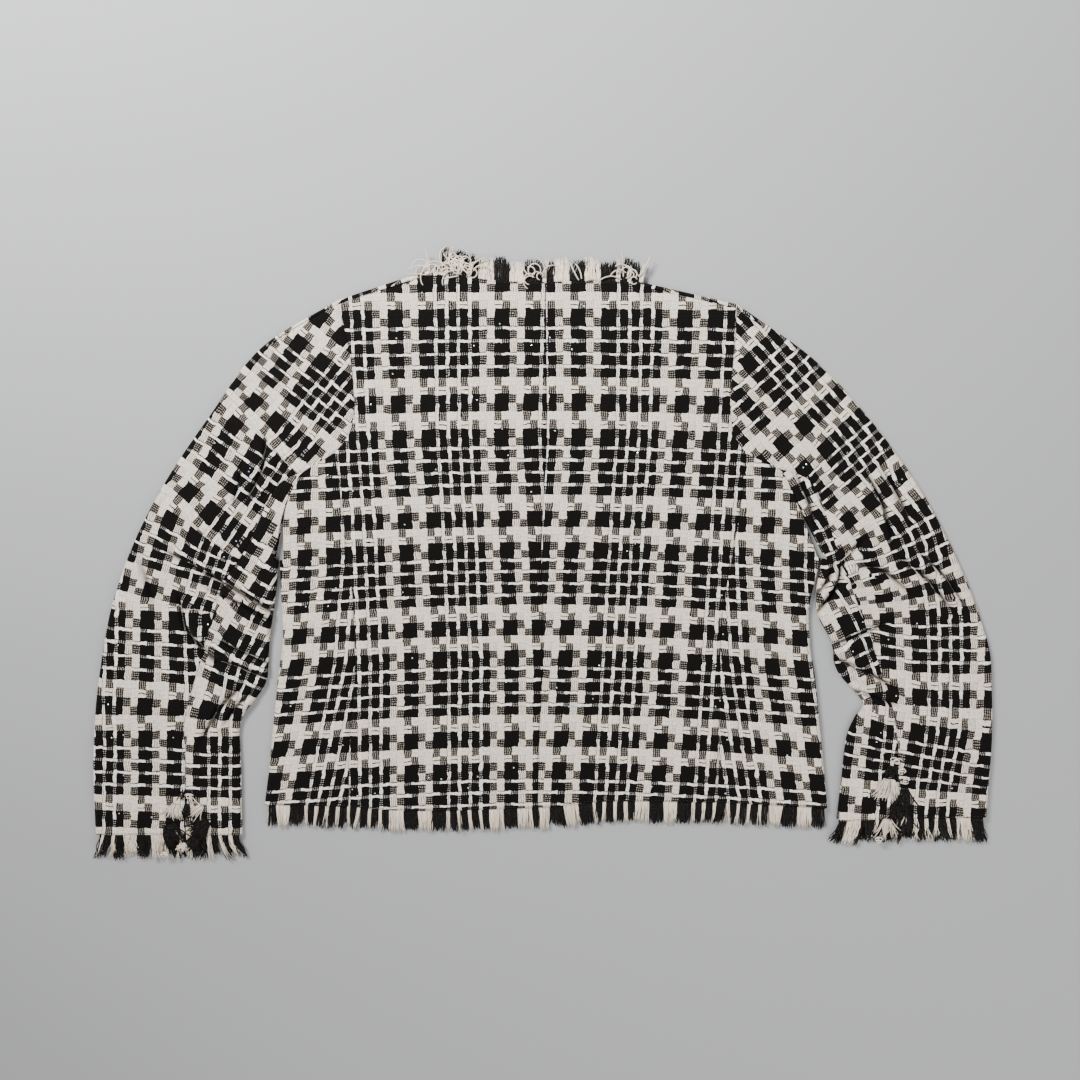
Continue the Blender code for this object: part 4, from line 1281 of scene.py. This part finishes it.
def fringe_paths(edge, ways, pale, heights, trim, look, dice):
    """Paths of the plies that hang from an edge, gathered in tufts of one colour."""
    steps = np.linspace(0, 1, len(PLY_TAPER))
    paths = []
    for first, last in tufts(pale):
        middle = (first + last - 1) / 2
        ends = edge[0] + (edge[-1] - edge[0]) * middle / len(pale) - (edge[0] + edge[-1]) / 2
        way = ways[round(middle)]
        place = 2 * np.dot(ends, (way[1], -way[0])) / np.linalg.norm(edge[-1] - edge[0])
        tuft_lean = dice.gauss(0, look.lean) + look.spread * place**3
        tuft_long = trim.fringe * look.long * dice.uniform(look.short, TUFT_LONGEST)
        narrow = look.narrow * dice.uniform(*TUFT_GATHERED)
        for index in range(first, last):
            root, way = edge[index], ways[index]
            across = np.array([way[1], -way[0]])
            inward = np.dot(edge[index] - edge[min(max(round(middle), first), last - 1)], across)
            for ply in range(look.plies):
                lean = tuft_lean - inward * (1 - narrow) + dice.gauss(0, 0.5 + 0.3 * look.curl)
                long = tuft_long * dice.uniform(*PLY_LENGTHS)
                off = (ply - (look.plies - 1) / 2) * YARN_WIDTH / look.plies + dice.gauss(0, 0.12)
                wave, phase = dice.gauss(0, look.curl), dice.uniform(0, 6.3)
                out = -ROOT_IN + (long + ROOT_IN) * steps
                sway = off + lean * steps**1.5 + wave * np.sin(steps * 6 + phase) * steps
                flat = root + way * out[:, None] + across * sway[:, None]
                bow = heights[0] + (heights[1] - heights[0]) * steps**1.6
                stray = dice.gauss(0, 0.35) + (dice.gauss(0, 0.7) + 0.4 * look.curl) * steps
                paths.append(np.column_stack([flat, np.maximum(bow + stray, LOWEST_PLY)]))
    return np.array(paths)


def yarn_edge(line, yarn_of):
    """Places along a line at which each yarn of the weave leaves it, and the yarn."""
    fine = even(through(line), 0, len(line) - 1, 10 * FINE_STEPS)
    yarns = np.floor(yarn_of(fine)).astype(int)
    index = np.flatnonzero(np.diff(yarns)) + 1
    index = index[np.diff(run_along(fine)[index], prepend=-9) > 0.5]
    return fine[index], normals(fine)[index], yarns[index]


def make_fringe(name, line, yarn_of, way, heights, trim, look, material):
    """The plies of an edge. WAY is 1 or -1, and HEIGHTS are those of their roots and tips."""
    dice = random.Random(name)
    edge, ways, yarns = yarn_edge(line, yarn_of)
    pale = weave_is_pale(yarns)
    paths = fringe_paths(edge, ways * way, pale, heights, trim, look, dice)
    pale = np.repeat(pale, look.plies)
    thread_mesh("frayed_" + name, paths, trim.ply * PLY_TAPER, pale, material, [name])


def make_curls(starts, high, trim, material):
    """Long loose yarns that stand over an edge, each bent into its own wandering loop."""
    dice = random.Random(8)
    steps = np.linspace(0, 1, CURL_STEPS)
    paths, pale = [], []
    for x, y, way in starts:
        heading = math.radians(way + dice.uniform(-CURL_ASTRAY, CURL_ASTRAY))
        bend = dice.uniform(-CURL_BEND, CURL_BEND)
        long = CURL_LENGTH * dice.uniform(*CURL_LENGTHS)
        angles = heading + bend * steps
        walk = np.cumsum(np.column_stack([np.cos(angles), np.sin(angles)]), axis=0)
        level = high + 1.4 * np.sin(steps * math.pi) + dice.gauss(0, 0.5)
        paths.append(np.column_stack([np.array([x, y]) + walk * long / CURL_STEPS, level]))
        pale.append(dice.uniform(0.8, 1.0))
    radii = trim.ply * CURL_THICK * np.ones(CURL_STEPS)
    thread_mesh("curled_yarns", np.array(paths), radii, np.array(pale), material)


def make_half_fringes(half, trim, yarn):
    """The frayed edges of one side: front hem, front neck, and both layers of the cuff."""
    side, sign = half.side, half.sign
    hem = hem_between(half.side_axis[0], np.array([HEM[3].x + sign, HEM[3].y]), 20)
    neck = front_neck(half, np.linspace(0.12, math.pi / 2, 12), CENTRE_TOP[-1].x + sign * 0.3)
    cuff = np.array([half.outer_axis[-1], half.back_seam[-1], half.inner_axis[-1]])

    def front(spots):
        return body_yarns(spots, side, "back")[..., 0]

    def round_neck(spots):
        return np.linspace(0, NECK_YARNS, len(spots))

    def sleeve(spots):
        return sleeve_edge_yarns(spots, half)

    for name, edge, yarn_of, way, heights, look in (
        ("hem_fringe_front_", hem, front, -sign, LYING, UNDER_EDGE),
        ("neck_fringe_front_", neck, round_neck, sign, LYING, UNDER_EDGE),
        ("cuff_fringe_back_", cuff, sleeve, -sign, (half.high, CUFF_TIPS), CUFF_EDGE),
        ("cuff_fringe_front_", cuff, sleeve, -sign, LYING, CUFF_EDGE),
    ):
        make_fringe(name + side, edge, yarn_of, way, heights, trim, look, yarn)


def make_vent(half, trim, yarn):
    """Tufts of crosswise yarns that fray out of the cuff's slit and hang over it, and loops."""
    dice = random.Random("vent_" + half.side)
    steps = np.linspace(0, 1, len(VENT_TAPER))
    paths, pale = [], []
    for tuft in VENT_TUFTS[half.side]:
        heading = math.radians(tuft.way)
        across = np.array([-math.sin(heading), math.cos(heading)])
        for _ in range(round(tuft.wide * VENT_PLIES)):
            place = dice.uniform(-0.5, 0.5)
            turn = heading + math.radians(tuft.splay) * place * 2 + dice.gauss(0, 0.1)
            bend = dice.gauss(0, 0.35)
            headings = turn + bend * steps
            long = tuft.long * dice.uniform(*VENT_LENGTHS)
            walk = np.column_stack([np.cos(headings), np.sin(headings)]) * long / len(steps)
            wave = dice.gauss(0, 0.45) * np.sin(steps * 8 + dice.uniform(0, 6)) * steps
            root = np.array([tuft.x, tuft.y]) + across * place * tuft.wide * 0.55
            flat = root + np.cumsum(walk, axis=0) + wave[:, None] * across
            level = half.high + half.half_wall + VENT_CLEAR + dice.uniform(0, 1.8)
            paths.append(np.column_stack([flat, level + 0.9 * np.sin(steps * math.pi) - steps]))
            pale.append(tuft.pale * dice.uniform(0.7, 1.0))
    for loop in [each for each in VENT_LOOPS[half.side] for _ in range(VENT_PLIES)]:
        turns = dice.uniform(0, 6) + LOOP_TURN * steps
        size = loop.size * dice.uniform(*LOOP_SIZES)
        ring = np.column_stack([np.cos(turns) * size, np.sin(turns) * size * LOOP_FLATNESS])
        flat = np.array([loop.x, loop.y]) + ring + (dice.gauss(0, 1), dice.gauss(0, 1))
        level = half.high + half.half_wall + LOOP_CLEAR + 0.4 * np.sin(turns)
        paths.append(np.column_stack([flat, level]))
        pale.append(1.0)
    name = "vent_fringe_" + half.side
    radii = trim.ply * VENT_TAPER
    thread_mesh("frayed_" + name, np.array(paths), radii, np.array(pale), yarn, [name])


def sleeve_edge_yarns(spots, half):
    """Lengthwise yarns along a cuff, of whichever piece of the sleeve is there."""
    upper, under = (
        sleeve_yarns(spots, half.side, piece, half.cloth)[..., 0] for piece in ("upper", "under")
    )
    return np.where((spots[..., 0] - half.back_seam[-1, 0]) * half.sign > 0, upper, under)


def back_yarns(spots):
    """Lengthwise yarns along the back's edges: side panels outside the princess seams."""
    x = spots[..., 0]
    seams = [
        smooth_table(BACK_SEAMS, side + "_y", side + "_x", spots[..., 1])
        for side in ("left", "right")
    ]
    lefts, rights = (
        [body_yarns(spots, side, panel)[..., 0] for panel in ("back", "side")]
        for side in ("left", "right")
    )
    middle = np.where(x < HEM[3].x, lefts[0], rights[0])
    sides = np.where(x < 0, lefts[1], rights[1])
    return np.where((x > seams[0]) & (x < seams[1]), middle, sides)


def neck_line(left, right):
    """The back's neck edge, from one shoulder to the other."""
    ends = [through(half.neck_rows)(np.linspace(0.15, 4, 24)) for half in (left, right)]
    return np.vstack([ends[0], ends[1][::-1][1:]])


# ---- Stitches and sequins ----

STITCH_IN = 1.2  # from the edge
# Along a stitch: places as shares of its length, heights off the cloth, and radii.
STITCH_PLACES = np.array([0.08, 0.3, 0.6, 0.86])
STITCH_RISE = np.array([-0.35, 0.22, 0.22, -0.35])
STITCH_RADII = np.array([0.16, 0.24, 0.24, 0.16])
SEQUIN_CUP, SEQUIN_FILM, SEQUIN_CLEAR = 0.12, 0.2, 0.35  # millimetres
SEQUIN_TIP = 0.16  # radians off level
SEQUINS_ON_BACK = 0.62  # share of them that lie on the back; the rest are on the sleeves
SEQUIN_TURN = 2.4  # radians from one to the next
Reach = namedtuple("Reach", "y x")  # how far out from the centre the back's sequins go
SEQUIN_REACH = [Reach(-240, 238), Reach(-20, 228), Reach(70, 190), Reach(90, 160), Reach(205, 165)]
SEQUIN_TINTS = ["DFF9F3", "B2F3CB", "BCE0FF", "DBCBFF", "F9F9FF", "FFEDC3", "FFFFFF"]


def make_stitches(name, lines, trim, material):
    """Rows of straight stitches that lie just on the cloth, as one mesh."""
    paths = []
    for line, height in lines:
        run = run_along(line)
        for index in range(int(run[-1] / trim.stitch)):
            ends = (index + STITCH_PLACES) * trim.stitch
            flat = np.column_stack([np.interp(ends, run, line[:, axis]) for axis in (0, 1)])
            paths.append(np.column_stack([flat, height(flat) + STITCH_RISE]))
    thread_mesh(name, np.array(paths), STITCH_RADII, np.zeros(len(paths)), material)


def one_sequin(trim):
    """A six-sided sequin at the origin, a little cupped."""
    deselect()
    radius = trim.sequin / 2 * MM
    bpy.ops.mesh.primitive_circle_add(vertices=6, radius=radius, fill_type="TRIFAN")
    sequin = bpy.context.object
    for vertex in sequin.data.vertices:
        vertex.co.z += SEQUIN_CUP * MM * (1 - vertex.co.length / radius)
    film = sequin.modifiers.new("film", "SOLIDIFY")
    film.thickness = SEQUIN_FILM * MM
    bpy.ops.object.modifier_apply(modifier="film")
    face_outwards()
    sequin.data.attributes.new("tint", "FLOAT_COLOR", "POINT")
    return sequin


def make_sequins(halves, trim, material):
    """Sequins scattered over the upper layer, each with its own tint and tipped its own way."""
    dice = random.Random(11)
    pattern = one_sequin(trim)
    deselect()
    for index in range(trim.sequins):
        half = dice.choice(halves)
        spot, where = sequin_spot(half, dice)
        height = half.high + float(rise(spot[None], where)[0]) + half.half_wall + SEQUIN_CLEAR
        turn = Euler((dice.gauss(0, SEQUIN_TIP), dice.gauss(0, SEQUIN_TIP), SEQUIN_TURN * index))
        mesh = pattern.data.copy()
        mesh.transform(Matrix.LocRotScale(Vector(part_metres([*spot, height])), turn, None))
        tint = linear(dice.choice(SEQUIN_TINTS))
        mesh.attributes["tint"].data.foreach_set("color", tint * len(mesh.vertices))
        sequin = bpy.data.objects.new("sequins", mesh)
        bpy.context.scene.collection.objects.link(sequin)
        sequin.select_set(True)
    bpy.context.view_layer.objects.active = sequin
    bpy.ops.object.join()
    bpy.data.objects.remove(pattern)
    sequin.name = sequin.data.name = "sequins"
    sequin.data.materials.append(material)
    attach(sequin, "root")


def sequin_spot(half, dice):
    """A place on the back or a sleeve, and which of them it is."""
    if dice.random() < SEQUINS_ON_BACK:
        share = dice.uniform(0.03, 0.97)
        y = dice.uniform(-236, 222)
        reach = np.interp(y, [row.y for row in SEQUIN_REACH], [row.x for row in SEQUIN_REACH])
        return np.array([half.sign * reach * share, y]), "body"
    row = dice.uniform(0.4, len(half.stations) - 1.2)
    ends = [through([station[at : at + 2] for station in half.stations])(row)[0] for at in (0, 4)]
    share = dice.uniform(0.08, 0.92) * (0.8 if row < CORNER else 1.0)
    return ends[0] + (ends[1] - ends[0]) * share, half.side


# ---- Stage ----

FLOOR_SIZE, FLOOR_DROP = 6.0, 0.0002  # metres
SKY_STRENGTH = 0.5
CAMERA_AWAY = 0.975  # metres from the lens to the floor at the middle of the view
CAMERA_TILT = math.radians(3.0)  # off straight down
CAMERA_SENSOR = 36.0  # millimetres, as wide as the view
CAMERA_LENS = CAMERA_SENSOR * 1083 / 1080
# Lamps in metres and watts. They lean off the garment, so that their light grazes it.
Lamp = namedtuple("Lamp", "name x y z size power")
LAMPS = [Lamp("key", -0.75, 0.9, 1.3, 0.5, 112.0), Lamp("fill", 0.5, -0.9, 1.5, 1.8, 26.0)]


# ---- Operators ----


def halves(context):
    """The left and right sides of the garment, in the user's sizes."""
    cloth = context.scene.jacket_cloth
    return [Half("left", cloth), Half("right", cloth)]


def material_of(context, name):
    """The material of a name, made when it is first asked for."""
    made = bpy.data.materials.get(name)
    if made:
        return made
    colours, cloth = context.scene.jacket_colours, context.scene.jacket_cloth
    makers = {
        "fancy_tweed": lambda: fancy_tweed(colours, cloth),
        "frayed_yarn": lambda: frayed_yarn(colours),
        "sewing_thread": lambda: sewing_thread(colours),
        "sequin_film": sequin_film,
    }
    return makers[name]()


class JACKET_OT_fronts(bpy.types.Operator):
    """The two fronts, under the back"""

    bl_idname = "jacket.fronts"
    bl_label = "Fronts"

    def execute(self, context):
        for half in halves(context):
            make_front(half, material_of(context, "fancy_tweed"))
        return {"FINISHED"}


class JACKET_OT_back(bpy.types.Operator):
    """The centre back panels and the side panels"""

    bl_idname = "jacket.back"
    bl_label = "Back and sides"

    def execute(self, context):
        for half in halves(context):
            make_back_centre(half, material_of(context, "fancy_tweed"))
            make_side(half, material_of(context, "fancy_tweed"))
        return {"FINISHED"}


class JACKET_OT_sleeves(bpy.types.Operator):
    """Both pieces of each sleeve"""

    bl_idname = "jacket.sleeves"
    bl_label = "Sleeves"

    def execute(self, context):
        for half in halves(context):
            make_sleeve(half, material_of(context, "fancy_tweed"))
        return {"FINISHED"}


class JACKET_OT_fringes(bpy.types.Operator):
    """The frayed edges at hem, neck, cuffs and vents"""

    bl_idname = "jacket.fringes"
    bl_label = "Frayed edges"

    def execute(self, context):
        trim = context.scene.jacket_trim
        yarn = material_of(context, "frayed_yarn")
        left, right = halves(context)
        hem, hang = hem_between(left.side_axis[0], right.side_axis[0], 40), (left.high, HEM_TIPS)
        make_fringe("hem_fringe_back", hem, back_yarns, 1, hang, trim, EVEN_EDGE, yarn)
        neck, hang = neck_line(left, right), (left.high, NECK_TIPS)
        make_fringe("neck_fringe_back", neck, back_yarns, -1, hang, trim, NECK_EDGE, yarn)
        for half in (left, right):
            make_half_fringes(half, trim, yarn)
            make_vent(half, trim, yarn)
        return {"FINISHED"}


class JACKET_OT_stitching(bpy.types.Operator):
    """Stitches along the hem, neck and cuffs"""

    bl_idname = "jacket.stitching"
    bl_label = "Stitching"

    def execute(self, context):
        trim = context.scene.jacket_trim
        left, right = halves(context)

        def top(half, where):
            return lambda spots: half.high + rise(spots, where) + half.half_wall

        hem = hem_between(left.side_axis[0], right.side_axis[0], 200)
        neck = neck_line(left, right)
        lines = [(hem + (0, STITCH_IN), top(left, "body")), (neck - (0, STITCH_IN), top(left, "body"))]
        for half in (left, right):
            cuff = np.linspace(half.outer_axis[-1], half.inner_axis[-1], 40)
            lines.append((cuff + (0, STITCH_IN), top(half, half.side)))
        make_stitches("hem_stitches", lines, trim, material_of(context, "sewing_thread"))
        return {"FINISHED"}


class JACKET_OT_sequins(bpy.types.Operator):
    """Iridescent sequins on the upper layer"""

    bl_idname = "jacket.sequins"
    bl_label = "Sequins"

    def execute(self, context):
        trim = context.scene.jacket_trim
        if trim.sequins:
            make_sequins(halves(context), trim, material_of(context, "sequin_film"))
        return {"FINISHED"}


class JACKET_OT_neck_curls(bpy.types.Operator):
    """Long curled yarns that stand up along the neck, most of them at its left end"""

    bl_idname = "jacket.neck_curls"
    bl_label = "Curled yarns at the neck"

    def execute(self, context):
        left = halves(context)[0]
        dice = random.Random(3)
        starts = [
            (dice.uniform(*place.across), dice.uniform(*place.up), dice.choice(CURL_WAYS))
            for place in CURL_PLACES
            for _ in range(place.count)
        ]
        trim, yarn = context.scene.jacket_trim, material_of(context, "frayed_yarn")
        make_curls(starts, left.high + CURL_RISE, trim, yarn)
        return {"FINISHED"}


class JACKET_OT_stage(bpy.types.Operator):
    """A plain floor, soft lights and the camera overhead"""

    bl_idname = "jacket.stage"
    bl_label = "Stage"

    def execute(self, context):
        colours = context.scene.jacket_colours
        deselect()
        bpy.ops.mesh.primitive_plane_add(size=FLOOR_SIZE, location=(0, 0, -FLOOR_DROP))
        floor = context.object
        floor.name = "floor"
        floor.data.materials.append(floor_paper(colours))
        for lamp in LAMPS:
            self.light(lamp)
        world = context.scene.world or bpy.data.worlds.new("studio")
        context.scene.world = world
        world.use_nodes = True
        sky = world.node_tree.nodes["Background"]
        sky.inputs["Color"].default_value = linear(colours.sky)
        sky.inputs["Strength"].default_value = SKY_STRENGTH
        aim_x, aim_y = -ORIGIN * MM
        up, back = CAMERA_AWAY * math.cos(CAMERA_TILT), CAMERA_AWAY * math.sin(CAMERA_TILT)
        bpy.ops.object.camera_add(
            location=(aim_x, aim_y + back, up), rotation=(-CAMERA_TILT, 0, 0)
        )
        camera = context.object
        camera.data.lens = CAMERA_LENS
        camera.data.sensor_width = CAMERA_SENSOR
        context.scene.camera = camera
        return {"FINISHED"}

    def light(self, lamp):
        """Adds an area lamp."""
        bpy.ops.object.light_add(type="AREA", location=(lamp.x, lamp.y, lamp.z))
        made = bpy.context.object
        made.name = lamp.name
        made.data.size = lamp.size
        made.data.energy = lamp.power
        made.rotation_euler = (math.atan2(lamp.y, lamp.z), math.atan2(lamp.x, lamp.z), 0)


class JACKET_PT_panel(bpy.types.Panel):
    """The jacket's sizes, and a button for each group of pieces"""

    bl_idname = "JACKET_PT_panel"
    bl_label = "Cropped Tweed Jacket"
    bl_space_type = "VIEW_3D"
    bl_region_type = "UI"
    bl_category = "Jacket"

    def draw(self, context):
        for group in ("jacket_cloth", "jacket_trim", "jacket_colours"):
            box = self.layout.box()
            values = getattr(context.scene, group)
            for name in values.__annotations__:
                box.prop(values, name)
        for operator in OPERATORS:
            self.layout.operator(operator.bl_idname)


GROUPS = {"jacket_cloth": JacketCloth, "jacket_trim": JacketTrim, "jacket_colours": JacketColours}
OPERATORS = [
    JACKET_OT_stage,
    JACKET_OT_fronts,
    JACKET_OT_back,
    JACKET_OT_sleeves,
    JACKET_OT_fringes,
    JACKET_OT_neck_curls,
    JACKET_OT_stitching,
    JACKET_OT_sequins,
]


def register():
    for kind in [*GROUPS.values(), *OPERATORS, JACKET_PT_panel]:
        bpy.utils.register_class(kind)
    for name, kind in GROUPS.items():
        setattr(bpy.types.Scene, name, bpy.props.PointerProperty(type=kind))


def unregister():
    for name in GROUPS:
        delattr(bpy.types.Scene, name)
    for kind in reversed([*GROUPS.values(), *OPERATORS, JACKET_PT_panel]):
        bpy.utils.unregister_class(kind)


def main():
    register()
    for operator in OPERATORS:
        group, name = operator.bl_idname.split(".")
        getattr(getattr(bpy.ops, group), name)()


if __name__ == "__main__":
    main()
